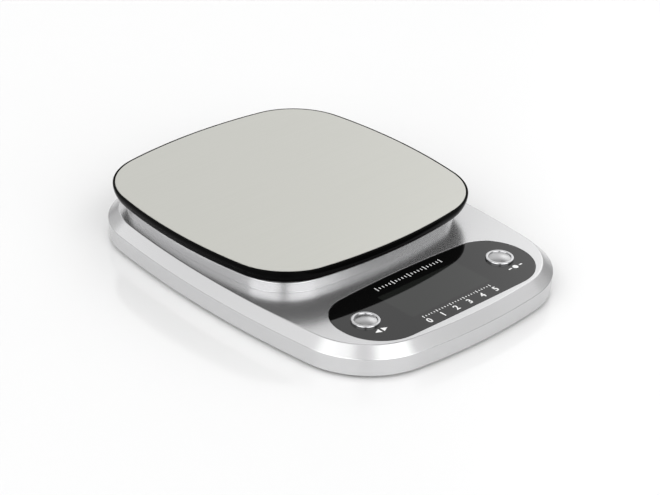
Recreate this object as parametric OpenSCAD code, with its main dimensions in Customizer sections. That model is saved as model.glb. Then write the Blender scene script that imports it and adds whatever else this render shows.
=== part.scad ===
// Digital precision scale: a steel plate in a black tray on a silver base with a
// black display panel and two chrome buttons.
// Millimetres. +Z is up, the front faces -Y, and the origin is on the resting
// plane under the middle of the base.

/* [Base] */
// Width of the base across the bulge of its sides
base_w = 173; // [170:1:200]
// Length of the base from front to back
base_l = 232; // [228:1:270]
// Radius of the bulged sides
base_side_r = 600; // [400:10:2000]
// Radius of the bulged front and back
base_end_r = 328; // [240:4:1200]
// Radius of the corners
base_corner_r = 45; // [36:1:50]
// Height of the shell from its lower edge to the deck
base_h = 14.8; // [14.6:0.2:18]
// Height of the upright band at the foot of the shell
band_h = 9.6; // [7:0.2:10.4]
// How far the edge of the deck stands inside the band
deck_inset = 5.8; // [4:0.2:6.6]
// How far the band leans in at its lower edge
band_draft = 0.5; // [0:0.1:1]
// Radius of the softened edges of the shell
edge_soft = 0.3; // [0.1:0.1:0.6]
// Wall of the shell
shell_t = 2; // [1.6:0.1:2.4]
// Thickness of the deck
deck_t = 2.2; // [1.8:0.1:2.6]
// Thickness of the bottom cover
floor_t = 1.8; // [1.6:0.1:2]

/* [Platform] */
// Size of the platform across the bulge of its sides, both ways
platform_w = 165; // [160:1:168]
// Radius of its bulged sides
platform_bulge_r = 280; // [220:5:1200]
// Radius of its corners
platform_corner_r = 38.5; // [30:0.5:48]
// Height of the weighing face above the deck
platform_rise = 16.4; // [15.6:0.2:20]
// Thickness of the steel plate
plate_t = 0.6; // [0.4:0.1:1]
// Thickness of the tape under the plate
tape_t = 0.3; // [0.2:0.1:0.8]
// Length of each strip of tape
tape_l = 100; // [60:1:120]
// Width of each strip of tape
tape_w = 20; // [10:1:30]
// Distance of each strip of tape from the platform's middle
tape_y = 33; // [20:1:45]
// Width of the rim that shows round the plate
rim_w = 1.2; // [0.8:0.1:2]
// Height of the tray from its lower edge to the weighing face
tray_h = 9.9; // [9:0.1:11]
// How far the tray's side leans in at its lower edge
tray_lean = 7.2; // [5.6:0.1:8]
// Wall of the tray
tray_t = 2; // [1.6:0.1:2.6]
// Thickness of the ribs under the tray
rib_t = 1.4; // [1:0.1:2]
// Distance from rib to rib
rib_pitch = 22; // [18:1:22]
// How far the platform sinks at full load
platform_travel = 0.5; // [0.3:0.05:0.6]

/* [Pedestal] */
// How far the pedestal stands inside the edge of the deck
pedestal_margin = 6; // [5:0.2:8]
// Distance from the panel to the pedestal
pedestal_front = 10.2; // [8.5:0.1:13]
// Radius of the pedestal's bulged sides
pedestal_bulge_r = 272.2; // [210:0.2:1200]
// Radius of the pedestal's corners
pedestal_corner_r = 30.7; // [24:0.1:40]
// Gap between the pedestal's roof and the tray
pedestal_gap = 0.7; // [0.7:0.1:1.2]

/* [Display panel] */
// Width of the panel
lens_w = 129; // [126:1:134]
// Depth of the panel from its front edge to its back edge
lens_l = 50; // [48:1:52]
// Distance from the panel's front edge to the front of the base
lens_margin = 10.6; // [9.5:0.1:11.5]
// Thickness of the panel
lens_t = 1.5; // [1:0.1:1.8]
// How far the panel lies below the deck
lens_sink = 0.15; // [0:0.05:0.4]
// Radius of the panel's back corners
lens_back_corner_r = 22; // [16:1:24]
// Radius of the panel's front corners
lens_front_corner_r = 24.5; // [18:0.5:25]
// Radius of the panel's slightly bulged back edge
lens_back_r = 600; // [400:20:3000]
// Radius of the panel's nearly straight front edge
lens_front_r = 3000; // [1000:100:5000]
// Radius of the panel's bulged ends
lens_side_r = 60; // [40:5:150]
// Thickness of the seat under the panel
seat_t = 2; // [1.6:0.1:2.2]
// Width of the window in the seat
window_w = 50; // [40:1:51]
// Depth of the window in the seat
window_l = 17; // [12:1:18]
// Width of the display glass
lcd_w = 54; // [53:1:58]
// Depth of the front display glass
lcd_l = 24; // [22:1:26]
// Width of the contact ledge of the front glass
lcd_ledge = 3; // [2.4:0.1:4]
// Thickness of each display glass
lcd_glass_t = 1.1; // [0.7:0.1:1.1]
// Height of the display holder
holder_h = 3.95; // [3.75:0.05:4.15]
// Wall of the display holder
holder_t = 1.6; // [1:0.1:2]
// Width of the rubber contact strip
zebra_t = 2; // [1.6:0.1:2.2]

/* [Buttons] */
// Distance of each button from the middle of the panel
button_x = 48.8; // [47.5:0.1:49.5]
// Diameter of the chrome ring
bezel_d = 15.2; // [14.6:0.1:16]
// Height of the ring above the panel
bezel_h = 1.2; // [0.8:0.1:1.8]
// Diameter of the ring's skirt in the panel's hole
skirt_d = 13.4; // [13:0.1:13.8]
// Diameter of the button cap
cap_d = 11.6; // [10.4:0.1:11.8]
// Height of the cap's rim above the panel
cap_h = 0.7; // [0.4:0.1:1]
// Height of the cap's crown above its rim
crown_h = 1.1; // [0.6:0.1:1.6]
// Diameter of the cap's stem
stem_d = 3.6; // [3:0.1:5]
// Travel of each button
button_travel = 0.3; // [0.2:0.05:0.4]

/* [Circuit board] */
// Width of the board
pcb_w = 112; // [110:1:114]
// Depth of the board
pcb_l = 38; // [37:0.5:39]
// Thickness of the board
pcb_t = 1.6; // [1:0.1:1.6]
// Side of a push switch
switch_w = 6; // [5:0.5:7]
// Height of a push switch's body
switch_h = 3.5; // [3:0.1:3.9]
// Height of the plunger above the switch's body
plunger_h = 1.5; // [1:0.1:1.7]
// Diameter of the plunger
plunger_d = 3.4; // [2.6:0.1:3.6]

/* [Load cell] */
// Length of the beam
beam_l = 75; // [74:1:80]
// Side of the beam's square section
beam_w = 12.7; // [12.4:0.1:12.9]
// Diameter of the two joined holes
beam_hole_d = 10; // [8:0.2:10.4]
// Distance of each hole from the middle of the beam
beam_hole_x = 7; // [6:0.5:9]
// Height of the slot between the holes
beam_slot = 3; // [2:0.5:5]
// Distance of the outer screw from the beam's end
beam_screw_end = 5; // [4.5:0.5:6]
// Distance between the screws of one end
beam_screw_pitch = 15; // [14:0.5:15]
// Thickness of the steel shims
shim_t = 1; // [0.8:0.1:1.1]
// Height of the beam's seat above the bottom cover's underside
beam_seat_h = 4; // [3.8:0.1:4.1]

/* [Batteries] */
// Diameter of a battery
battery_d = 10.5; // [10:0.1:10.7]
// Length of a battery with its nub
battery_l = 44.5; // [43:0.1:50]
// Distance of the batteries' middle from the back of the base
battery_margin = 41; // [39:0.5:43]
// Length of a contact spring
spring_l = 4.7; // [4.2:0.1:5.4]
// Wire of a contact spring
spring_wire = 0.6; // [0.4:0.05:0.7]
// Turns of a contact spring
spring_turns = 3; // [2:0.5:3.5]
// Thickness of the contact sheet
contact_t = 0.4; // [0.3:0.05:0.6]
// Height of the bump on a contact
bump_h = 1.2; // [0.8:0.1:1.6]
// Wall of the battery box
box_t = 2; // [1.6:0.1:2.4]
// Thickness of the battery door
door_t = 1.5; // [1.2:0.1:1.6]
// Diameter of the door's stub pins
pin_d = 1.6; // [1.2:0.1:1.8]
// Radius of the rounded bead along the pins
bead_r = 1.2; // [1:0.1:1.3]

/* [Feet] */
// Diameter of a foot
foot_d = 16; // [12:0.5:17]
// How far a foot stands out of the base
foot_out = 2; // [1.6:0.1:4]
// Depth of a foot's recess
foot_in = 0.8; // [0.5:0.1:1]
// Distance of the feet's middles from the sides of the base
foot_side = 24.5; // [23.5:0.5:26]
// Distance of the feet's middles from the front and the back of the base
foot_end = 27; // [26:0.5:29]

/* [Fasteners] */
// Diameter of the bosses for the housing screws
boss_d = 6.6; // [6.2:0.1:7]
// Distance of the front bosses from the front of the base
boss_front = 11; // [10.5:0.5:12]
// Distance of the front bosses from the middle line
boss_front_x = 35; // [20:1:40]
// Distance of the back bosses from the back of the base
boss_back = 16; // [14:0.5:18]
// Distance of the back bosses from the middle line
boss_back_x = 50; // [40:1:52]
// Distance of the side bosses from the sides of the base
boss_side = 13.5; // [13:0.5:14]
// Distance of the side bosses in front of the middle of the base
boss_side_y = 20; // [10:1:30]
// Shank diameter of the housing screws
tapper_d = 2.9; // [2.6:0.1:3]
// Head diameter of the housing screws
tapper_head_d = 5.4; // [5:0.1:5.6]
// Head height of the housing screws
tapper_head_h = 2; // [1.6:0.1:2.2]
// Length of the housing screws under the head
tapper_l = 8; // [6:0.5:8.4]
// Shank diameter of the load cell's screws
bolt_d = 4; // [3:0.1:4.2]
// Head diameter of the load cell's screws
bolt_head_d = 7.4; // [6.4:0.1:7.6]
// Head height of the load cell's screws
bolt_head_h = 2.4; // [2:0.1:2.5]
// Shank diameter of the board's screws
pcb_screw_d = 2.2; // [1.8:0.1:2.4]
// Length of the board's screws under the head
pcb_screw_l = 5; // [4:0.5:5.5]
// Diameter of the bosses for the board's screws
pcb_boss_d = 5.6; // [5:0.1:6]
// Distance of the board's screws from its edges
pcb_boss_edge = 4; // [3.5:0.1:5]
// Distance from the housing's front bosses to the board
pcb_gap = 1.7; // [1:0.1:2.5]

/* [Clearances] */
// Gap between shell parts that fit inside one another
part_gap = 0.25; // [0.15:0.05:0.3]
// Radial gap of sliding and turning fits
run_gap = 0.08; // [0.05:0.01:0.1]
// Radial gap round a screw
screw_gap = 0.05; // [0.05:0.05:0.15]

/* [Hidden] */

// Smoothness of round surfaces and the overlap that cuts run past a face
$fn = 64;
eps = 0.01;
over = 1;

// Points in each stretch of a quarter outline
side_steps = 4;
corner_steps = 16;
end_steps = 4;
ring_n = 4 * (side_steps + corner_steps + end_steps);

// Heights of the base, from the resting plane up
z_base = foot_out;
z_floor = z_base + floor_t;
z_band = z_base + band_h;
z_deck = z_base + base_h;
z_ceiling = z_deck - deck_t;

// Heights of the platform, from the weighing face down
z_top = z_deck + platform_rise;
z_plate = z_top - plate_t;
z_tray_floor = z_plate - tape_t;
z_tray = z_top - tray_h;
z_pedestal = z_tray - pedestal_gap;
z_roof = z_pedestal - shell_t;

// Heights of the panel and of what hangs under it
z_lens = z_deck - lens_sink;
z_seat = z_lens - lens_t;
z_under_seat = z_seat - seat_t;
z_rear_glass = z_under_seat - lcd_glass_t;
z_holder = z_rear_glass - lcd_glass_t;
z_pcb = z_holder - holder_h;
z_pcb_under = z_pcb - pcb_t;
z_switch = z_pcb + switch_h;
z_plunger = z_switch + plunger_h;

// Heights of the load cell
z_beam_seat = z_base + beam_seat_h;
z_beam = z_beam_seat + shim_t;
z_beam_top = z_beam + beam_w;
z_boss = z_beam_top + shim_t;

// Places of the load cell's screws along X
beam_screws = [beam_l / 2 - beam_screw_end - beam_screw_pitch, beam_l / 2 - beam_screw_end];
beam_seat_l = beam_screw_end + beam_screw_pitch + bolt_d;
beam_seat_x = beam_l / 2 - beam_seat_l / 2;
boss_margin = 1.6;
boss_gap = 1;
bolt_web = 3;
bolt_grip = 8;
bolt_sink = 2.6;
z_bolt_head = z_base + bolt_sink;

// Outlines: half width, back, front, side radius, back radius, front radius,
// back corner radius, front corner radius
base_spec = [
    base_w / 2, base_l / 2, base_l / 2,
    base_side_r, base_end_r, base_end_r,
    base_corner_r, base_corner_r
];
pedestal_back_y = base_l / 2 - deck_inset - pedestal_margin;
pedestal_front_y = -base_l / 2 + lens_margin + lens_l + pedestal_front;
pedestal_l = pedestal_back_y - pedestal_front_y;
platform_y = (pedestal_back_y + pedestal_front_y) / 2;
lens_y = base_l / 2 - lens_margin - lens_l / 2;
battery_y = base_l / 2 - battery_margin;
platform_spec = [
    platform_w / 2, platform_w / 2, platform_w / 2,
    platform_bulge_r, platform_bulge_r, platform_bulge_r,
    platform_corner_r, platform_corner_r
];
pedestal_spec = [
    base_w / 2 - deck_inset - pedestal_margin, pedestal_l / 2, pedestal_l / 2,
    pedestal_bulge_r, pedestal_bulge_r, pedestal_bulge_r,
    pedestal_corner_r, pedestal_corner_r
];
lens_corner_max = lens_l / 2 - 0.5;
lens_spec = [
    lens_w / 2, lens_l / 2, lens_l / 2,
    lens_side_r, lens_back_r, lens_front_r,
    min(lens_back_corner_r, lens_corner_max), min(lens_front_corner_r, lens_corner_max)
];
at_platform = [0, platform_y];
at_lens = [0, -lens_y];
lens_lip = 0.3;
seat_rim = 1.6;

// The two buttons: the unit button on the left and the power button on the right
button_r = cap_d / 2 + run_gap;
cap_flange = 0.7;
flange_t = 0.6;
flange_play = 0.2;
skirt_l = lens_t + seat_t + lens_sink - 0.2;
z_skirt = z_lens - skirt_l;
plunger_sink = 0.5;

// Bosses and ribs of the housing
boss_z = 6.4;
tapper_seat = 2.4;
front_boss = [boss_front_x, base_l / 2 - boss_front];
side_boss = [base_w / 2 - boss_side, boss_side_y];
back_boss = [boss_back_x, base_l / 2 - boss_back];
housing_bosses = [
    [-front_boss.x, -front_boss.y], [front_boss.x, -front_boss.y],
    [-side_boss.x, -side_boss.y], [side_boss.x, -side_boss.y],
    [-back_boss.x, back_boss.y], [back_boss.x, back_boss.y]
];
pcb_boss = [pcb_w / 2, pcb_l / 2] - [pcb_boss_edge, pcb_boss_edge];
pcb_y = -front_boss.y + boss_d / 2 + pcb_gap + pcb_l / 2;
pcb_bosses = [for (sx = [-1, 1], sy = [-1, 1]) [sx * pcb_boss.x, pcb_y + sy * pcb_boss.y]];
row_gap = 4;
row_y = -lens_y + lcd_l / 2 + row_gap;
row_x = pcb_boss_d / 2 + 2 - pcb_boss.x;
lead_pitch = 8;
pcb_head_d = 4;
pcb_head_h = 1.1;
foot_mid = [base_w / 2 - foot_side, base_l / 2 - foot_end];
lip_t = 1.2;
lip_h = 2.4;
stiffener_h = 2;
stiffener_margin = 27;

// The battery box and its door
cell_gap = 0.6;
pair_y = (battery_d + cell_gap) / 2;
box_play = 0.3;
box_l = contact_t + spring_l + battery_l + bump_h + contact_t;
box_w = 2 * battery_d + cell_gap + 2 * box_play;
z_door = z_base + door_t;
z_battery = z_door + 0.2 + battery_d / 2;
z_box = z_battery + battery_d / 2 + box_play;
door_ledge = 1.4;
door_l = box_l + 2 * door_ledge;
door_w = box_w + 2 * door_ledge;
door_y0 = battery_y - door_w / 2;
door_axis_y = door_y0 + bead_r;
door_axis_z = z_base + bead_r;
pin_l = 1.6;
lug_t = 2.4;
latch_w = 10;
latch_t = 1;
latch_h = 2.6;
nub_d = 3.8;
nub_h = 0.9;
tab_w = 3;
tab_out = 2.2;
spring_base_r = 3.6;
spring_tip_r = 2.2;
contact_w = 9;
contact_h = 9;
x_negative = -box_l / 2;
x_positive = box_l / 2;

// Points on an arc round centre c
function arc(c, r, from, to, steps) =
    [for (i = [0 : steps]) c + r * [cos(from + (to - from) * i / steps), sin(from + (to - from) * i / steps)]];

// All points but the first
function tail(list) = [for (i = [1 : len(list) - 1]) list[i]];

// Centre of the corner circle that touches a side arc and an end arc from inside
function corner_centre(half, end, side_r, end_r, corner_r) =
    let (
        a = [half - side_r, 0],
        b = [0, end - end_r],
        ra = side_r - corner_r,
        rb = end_r - corner_r,
        d = norm(b - a),
        along = (ra * ra - rb * rb + d * d) / (2 * d),
        off = sqrt(ra * ra - along * along),
        u = (b - a) / d
    )
    a + along * u + off * [-u.y, u.x];

// A quarter of an outline, from the +X axis to the +Y axis
function quarter(half, end, side_r, end_r, corner_r) =
    let (
        c = corner_centre(half, end, side_r, end_r, corner_r),
        a = [half - side_r, 0],
        b = [0, end - end_r],
        from_side = atan2(c.y, c.x - a.x),
        to_end = atan2(c.y - b.y, c.x)
    )
    concat(
        arc(a, side_r, 0, from_side, side_steps),
        tail(arc(c, corner_r, from_side, to_end, corner_steps)),
        tail(arc(b, end_r, to_end, 90, end_steps))
    );

// A closed outline, anticlockwise, drawn in from its spec by inset
function ring(spec, inset) =
    let (
        s = [for (v = spec) v - inset],
        back = quarter(s[0], s[1], s[3], s[4], s[6]),
        front = quarter(s[0], s[2], s[3], s[5], s[7]),
        n = len(back) - 1
    )
    concat(
        [for (i = [0 : n - 1]) back[i]],
        [for (i = [n : -1 : 1]) [-back[i].x, back[i].y]],
        [for (i = [0 : n - 1]) [-front[i].x, -front[i].y]],
        [for (i = [n : -1 : 1]) [front[i].x, -front[i].y]]
    );

// A solid through rings of one outline, each level being [inset, z], lowest first
module loft(spec, levels, at = [0, 0]) {
    points = [for (l = levels) for (p = ring(spec, l[0])) [p.x + at.x, p.y + at.y, l[1]]];
    bottom = [for (i = [0 : ring_n - 1]) i];
    top = [for (i = [ring_n - 1 : -1 : 0]) (len(levels) - 1) * ring_n + i];
    sides = [
        for (k = [0 : len(levels) - 2])
        for (i = [0 : ring_n - 1])
        let (j = (i + 1) % ring_n)
        [k * ring_n + i, (k + 1) * ring_n + i, (k + 1) * ring_n + j, k * ring_n + j]
    ];
    polyhedron(points, concat([bottom], sides, [top]));
}

// A straight slab of an outline
module slab(spec, inset, z0, z1, at = [0, 0]) {
    translate([at.x, at.y, z0])
        linear_extrude(z1 - z0)
            polygon(ring(spec, inset));
}

// A box given by its middle in X and Y, its size and its lowest and highest z
module block(mid, size, z0, z1) {
    translate([mid.x - size.x / 2, mid.y - size.y / 2, z0])
        cube([size.x, size.y, z1 - z0]);
}

// A flat box with round corners in plan
module round_block(mid, size, r, z0, z1) {
    translate([mid.x, mid.y, z0])
        linear_extrude(z1 - z0)
            union() {
                square([size.x - 2 * r, size.y], center = true);
                square([size.x, size.y - 2 * r], center = true);
                for (sx = [-1, 1], sy = [-1, 1])
                    translate([sx * (size.x / 2 - r), sy * (size.y / 2 - r)])
                        circle(r);
            }
}

// An upright cylinder from z0 to z1
module post(mid, d, z0, z1) {
    translate([mid.x, mid.y, z0])
        cylinder(h = z1 - z0, d = d);
}

// Side profile of the tray: how far it leans in at a share of the way down
function tray_side(share) = 2 * share * (1 - share) * 1.2 + share * share * tray_lean;
function tray_drop(share) = 2 * share * (1 - share) * 6 + share * share * (tray_h - tray_brow);
tray_brow = 1.6;
tray_steps = 6;
rim_drop = 0.15;

// Points of a helix along X whose radius narrows from one end to the other
spring_rings = 8;
function helix(x0, length, r0, r1, turns, hand) =
    let (n = ceil(spring_rings * turns))
    [for (i = [0 : n]) [x0 + length * i / n,
        (r0 + (r1 - r0) * i / n) * cos(360 * turns * i / n),
        hand * (r0 + (r1 - r0) * i / n) * sin(360 * turns * i / n)]];

// Unit vector, and the direction of a path at point i
function unit(v) = v / norm(v);
function heading(path, i) =
    let (n = len(path) - 1)
    i == 0 ? unit(path[1] - path[0]) :
    i == n ? unit(path[n] - path[n - 1]) :
    unit(unit(path[i + 1] - path[i]) + unit(path[i] - path[i - 1]));

// Frames carried along a path without twist: each is the direction of the ring's first point
function carry(path, i, side) =
    let (
        h = heading(path, i),
        flat = unit(side - (side * h) * h)
    )
    i == len(path) - 1 ? [flat] : concat([flat], carry(path, i + 1, flat));

// A round tube swept along a path
module tube(path, r, sides) {
    start = heading(path, 0);
    helper = abs(start.z) < 0.9 ? [0, 0, 1] : [1, 0, 0];
    firsts = carry(path, 0, helper);
    n = len(path);
    points = [
        for (i = [0 : n - 1])
        let (h = heading(path, i), a = firsts[i], b = cross(h, a))
        for (k = [0 : sides - 1])
        path[i] + r * (cos(360 * k / sides) * a + sin(360 * k / sides) * b)
    ];
    near_cap = [for (k = [0 : sides - 1]) k];
    far_cap = [for (k = [sides - 1 : -1 : 0]) (n - 1) * sides + k];
    walls = [
        for (i = [0 : n - 2])
        for (k = [0 : sides - 1])
        let (m = (k + 1) % sides)
        each [
            [i * sides + k, (i + 1) * sides + k, (i + 1) * sides + m],
            [i * sides + k, (i + 1) * sides + m, i * sides + m]
        ]
    ];
    polyhedron(points, concat([near_cap], walls, [far_cap]));
}

// Silver shell: band, bevel, deck and pedestal in one moulding
module upper_housing() {
    outside = [
        [band_draft + edge_soft, z_base],
        [band_draft, z_base + edge_soft],
        [0, z_band - edge_soft],
        [edge_soft, z_band + edge_soft],
        [deck_inset - edge_soft, z_deck - edge_soft],
        [deck_inset + edge_soft, z_deck]
    ];
    bevel = [deck_inset, base_h - band_h];
    ceiling_inset = deck_inset + (shell_t * norm(bevel) - deck_t * bevel.x) / bevel.y;
    bevel_foot = z_band - (shell_t * norm(bevel) - shell_t * bevel.y) / bevel.x;
    inside = [
        [band_draft + shell_t, z_base - over],
        [shell_t, bevel_foot],
        [ceiling_inset, z_ceiling]
    ];
    pedestal = [
        [-2 * edge_soft, z_deck - edge_soft],
        [-2 * edge_soft, z_deck],
        [-edge_soft / 2, z_deck + edge_soft],
        [0, z_deck + 3 * edge_soft],
        [2 * edge_soft / 3, z_pedestal - 2 * edge_soft],
        [2 * edge_soft, z_pedestal]
    ];
    opening = [beam_seat_l + 2 * (boss_margin + boss_gap), beam_w + 2 * (boss_margin + boss_gap)];
    color("silver")
        difference() {
            union() {
                difference() {
                    union() {
                        loft(base_spec, outside);
                        loft(pedestal_spec, pedestal, at_platform);
                    }
                    loft(base_spec, inside);
                    slab(pedestal_spec, shell_t, z_ceiling - over, z_roof, at_platform);
                }
                slab(lens_spec, -seat_rim, z_under_seat, z_ceiling + deck_t / 2, at_lens);
                for (p = housing_bosses)
                    post(p, boss_d, boss_z, z_ceiling + deck_t / 2);
                for (p = pcb_bosses)
                    post(p, pcb_boss_d, z_pcb, z_under_seat + seat_t / 2);
                intersection() {
                    union() {
                        for (s = [-1, 1]) {
                            block([0, platform_y + s * (pedestal_spec[1] - stiffener_margin)], [base_w, rib_t],
                                z_roof - stiffener_h, z_roof + shell_t / 2);
                            block([s * (pedestal_spec[0] - stiffener_margin), platform_y], [rib_t, base_l],
                                z_roof - stiffener_h, z_roof + shell_t / 2);
                        }
                    }
                    slab(pedestal_spec, shell_t / 2, z_ceiling, z_pedestal, at_platform);
                }
            }
            loft(lens_spec, [
                [-part_gap, z_seat],
                [-part_gap, z_deck - lens_lip],
                [-part_gap - 2 * lens_lip, z_deck + lens_lip]
            ], at_lens);
            block(at_lens, [window_w, window_l], z_under_seat - over, z_seat + over);
            for (sx = [-1, 1])
                post([sx * button_x, -lens_y], skirt_d + 2 * part_gap, z_under_seat - over, z_seat + over);
            for (p = housing_bosses)
                post(p, tapper_d + 2 * screw_gap, boss_z - over, z_base + tapper_seat + tapper_head_h
                    + tapper_l + screw_gap);
            for (p = pcb_bosses)
                post(p, pcb_screw_d + 2 * screw_gap, z_pcb - over, z_pcb_under + pcb_screw_l + screw_gap);
            round_block([beam_seat_x, platform_y], opening, 2, z_roof - over, z_pedestal + over);
        }
}

// Bottom cover with the battery box, the load cell's seat and the screw bosses
module lower_housing() {
    edge = band_draft + shell_t + part_gap;
    seat_size = [beam_seat_l + 2 * boss_margin, beam_w + 2 * boss_margin];
    floor_rib_h = 1.4;
    floor_rib_margin = 36;
    floor_rib_x = base_w / 2 - floor_rib_margin;
    floor_rib_back = base_l / 2 - floor_rib_margin;
    floor_rib_front = pcb_y + pcb_l / 2 + 6;
    color("gainsboro")
        difference() {
            union() {
                slab(base_spec, edge, z_base, z_floor);
                difference() {
                    slab(base_spec, edge, z_floor - eps, z_floor + lip_h);
                    slab(base_spec, edge + lip_t, z_floor - 2 * eps, z_floor + lip_h + over);
                }
                for (p = housing_bosses)
                    post(p, boss_d, z_floor - eps, boss_z);
                round_block([-beam_seat_x, platform_y], seat_size, 2, z_floor - eps, z_beam_seat);
                post([beam_screws[1], platform_y], 8, z_floor - eps, z_beam - platform_travel - 0.2);
                block([0, battery_y], [box_l + 2 * box_t, box_w + 2 * box_t], z_floor - eps, z_box + box_t);
                for (sx = [-1, 1])
                    block([sx * (door_l / 2 + lug_t / 2), door_axis_y], [lug_t, 6],
                        z_floor - eps, door_axis_z + pin_d / 2 + lug_t / 2);
                for (s = [-1, 1])
                    block([s * floor_rib_x, (floor_rib_back + floor_rib_front) / 2],
                        [rib_t, floor_rib_back - floor_rib_front], z_floor - eps, z_floor + floor_rib_h);
                block([0, floor_rib_front + rib_t / 2], [2 * floor_rib_x + rib_t, rib_t], z_floor - eps,
                    z_floor + floor_rib_h);
            }
            block([0, battery_y], [box_l, box_w], z_base - over, z_box);
            block([0, battery_y], [door_l + 2 * part_gap, door_w + 2 * part_gap], z_base - over, z_door + 0.2);
            translate([0, door_axis_y, door_axis_z])
                rotate([0, 90, 0])
                    cylinder(h = door_l + 2 * part_gap, r = bead_r + part_gap, center = true);
            translate([0, door_axis_y, door_axis_z])
                rotate([0, 90, 0])
                    cylinder(h = door_l + 2 * (pin_l + part_gap), d = pin_d + 2 * run_gap, center = true);
            block([0, battery_y + box_w / 2 + (latch_t + 0.8) / 2 - eps], [latch_w + 1, latch_t + 0.8],
                z_door, z_door + latch_h + 0.6);
            translate([0, door_y0 + door_w, z_base + 1.2 - foot_d / 2 - 4])
                sphere(r = foot_d / 2 + 4);
            for (p = [[x_negative - box_t / 2, battery_y - pair_y], [x_negative - box_t / 2, battery_y + pair_y]])
                block(p, [box_t + 2 * eps, tab_w + 0.2], z_battery - contact_t, z_battery + contact_t);
            for (p = housing_bosses) {
                post(p, tapper_head_d + 2 * part_gap, z_base - over, z_base + tapper_seat + tapper_head_h);
                post(p, tapper_d + 2 * screw_gap, z_base, boss_z + over);
            }
            for (x = beam_screws) {
                post([-x, platform_y], bolt_head_d + 2 * part_gap, z_base - over, z_bolt_head);
                post([-x, platform_y], bolt_d + 2 * screw_gap, z_base, z_beam_seat + over);
            }
            for (sx = [-1, 1], sy = [-1, 1])
                post([sx * foot_mid.x, sy * foot_mid.y], foot_d + 2 * screw_gap, z_base - over, z_base + foot_in);
        }
}

// One pan-head screw, head down at z0, shank upwards
module screw_up(mid, head_d, head_h, d, length, z0) {
    post(mid, head_d, z0, z0 + head_h);
    post(mid, d, z0 + head_h - eps, z0 + head_h + length);
}

// Self-tapping screws that join the two shells from below
module housing_screws() {
    color("dimgray")
        for (p = housing_bosses)
            screw_up(p, tapper_head_d, tapper_head_h, tapper_d, tapper_l, z_base + tapper_seat);
}

// A rubber foot with a softened edge, seated in its recess
module foot(sx, sy) {
    soft = 0.6;
    color("dimgray")
        translate([sx * foot_mid.x, sy * foot_mid.y, 0])
            rotate_extrude()
                polygon(concat(
                    [[0, 0]],
                    arc([foot_d / 2 - soft, soft], soft, -90, 0, 4),
                    [[foot_d / 2, foot_out + foot_in], [0, foot_out + foot_in]]
                ));
}
module foot_front_left() {
    foot(-1, -1);
}
module foot_front_right() {
    foot(1, -1);
}
module foot_back_left() {
    foot(-1, 1);
}
module foot_back_right() {
    foot(1, 1);
}

// Steel weighing plate, let into the tray
module platform_plate() {
    soft = 0.15;
    color("lightgray")
        loft(platform_spec, [
            [rim_w + soft, z_plate],
            [rim_w + soft, z_top - soft],
            [rim_w + 2 * soft, z_top]
        ], at_platform);
}

// Two strips of tape between the plate and the tray
module platform_tape() {
    color("white")
        for (sy = [-1, 1])
            block([0, platform_y + sy * tape_y], [tape_l, tape_w], z_tray_floor, z_plate);
}

// Black tray: rim, leaning side, ribs and the boss over the beam's free end
module platform_tray() {
    z_brow = z_top - tray_brow;
    side = [
        for (i = [tray_steps : -1 : 0])
        [tray_side(i / tray_steps), z_brow - tray_drop(i / tray_steps)]
    ];
    rim = [
        [0, z_top - 3 * rim_drop - 0.2],
        [rim_drop, z_top - rim_drop - 0.05],
        [3 * rim_drop, z_top - rim_drop]
    ];
    hollow = [
        [tray_side(1) + tray_t, z_tray - over],
        [tray_side(0.75) + tray_t, z_brow - tray_drop(0.75)],
        [tray_side(0.4) + tray_t, z_tray_floor - tray_t]
    ];
    boss_size = [beam_seat_l + 2 * boss_margin, beam_w + 2 * boss_margin];
    rib_count = floor((platform_w / 2 - tray_lean - tray_t) / rib_pitch);
    color("black")
        difference() {
            union() {
                difference() {
                    loft(platform_spec, concat(side, rim), at_platform);
                    difference() {
                        loft(platform_spec, hollow, at_platform);
                        for (i = [-rib_count : rib_count]) {
                            block([i * rib_pitch, platform_y], [rib_t, platform_w], z_tray + 0.2, z_tray_floor);
                            block([0, platform_y + i * rib_pitch], [platform_w, rib_t], z_tray + 0.2, z_tray_floor);
                        }
                    }
                }
                round_block([beam_seat_x, platform_y], boss_size, 1.5, z_boss, z_tray_floor - tray_t + eps);
            }
            slab(platform_spec, rim_w, z_tray_floor, z_top + over, at_platform);
            for (x = beam_screws) {
                post([x, platform_y], bolt_head_d + 2 * part_gap, z_boss + bolt_web, z_top);
                post([x, platform_y], bolt_d + 2 * screw_gap, z_boss - over, z_top);
            }
        }
}

// Two machine screws down through the tray's boss into the beam
module platform_screws() {
    z_head = z_boss + bolt_web;
    color("silver")
        for (x = beam_screws) {
            post([x, platform_y], bolt_head_d, z_head, z_head + bolt_head_h);
            post([x, platform_y], bolt_d, z_boss - shim_t - bolt_grip, z_head + eps);
        }
}

// A steel shim with two clearance holes; side is -1 for the fixed end and 1 for the free end
module spacer(side, z0) {
    color("lightslategray")
        difference() {
            block([side * beam_seat_x, platform_y], [beam_seat_l, beam_w], z0, z0 + shim_t);
            for (x = beam_screws)
                post([side * x, platform_y], bolt_d + 2 * screw_gap, z0 - over, z0 + shim_t + over);
        }
}
module upper_spacer() {
    spacer(1, z_beam_top);
}
module lower_spacer() {
    spacer(-1, z_beam_seat);
}

// Aluminium bending beam with two joined holes across it and two screw holes at each end
module load_cell() {
    z_mid = z_beam + beam_w / 2;
    color("gainsboro")
        difference() {
            block([0, platform_y], [beam_l, beam_w], z_beam, z_beam_top);
            for (sx = [-1, 1])
                translate([sx * beam_hole_x, platform_y, z_mid])
                    rotate([90, 0, 0])
                        cylinder(h = beam_w + 2 * over, d = beam_hole_d, center = true);
            block([0, platform_y], [2 * beam_hole_x, beam_w + 2 * over], z_mid - beam_slot / 2,
                z_mid + beam_slot / 2);
            for (sx = [-1, 1], x = beam_screws)
                post([sx * x, platform_y], bolt_d + 2 * screw_gap, z_beam - over, z_beam_top + over);
        }
}

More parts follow.
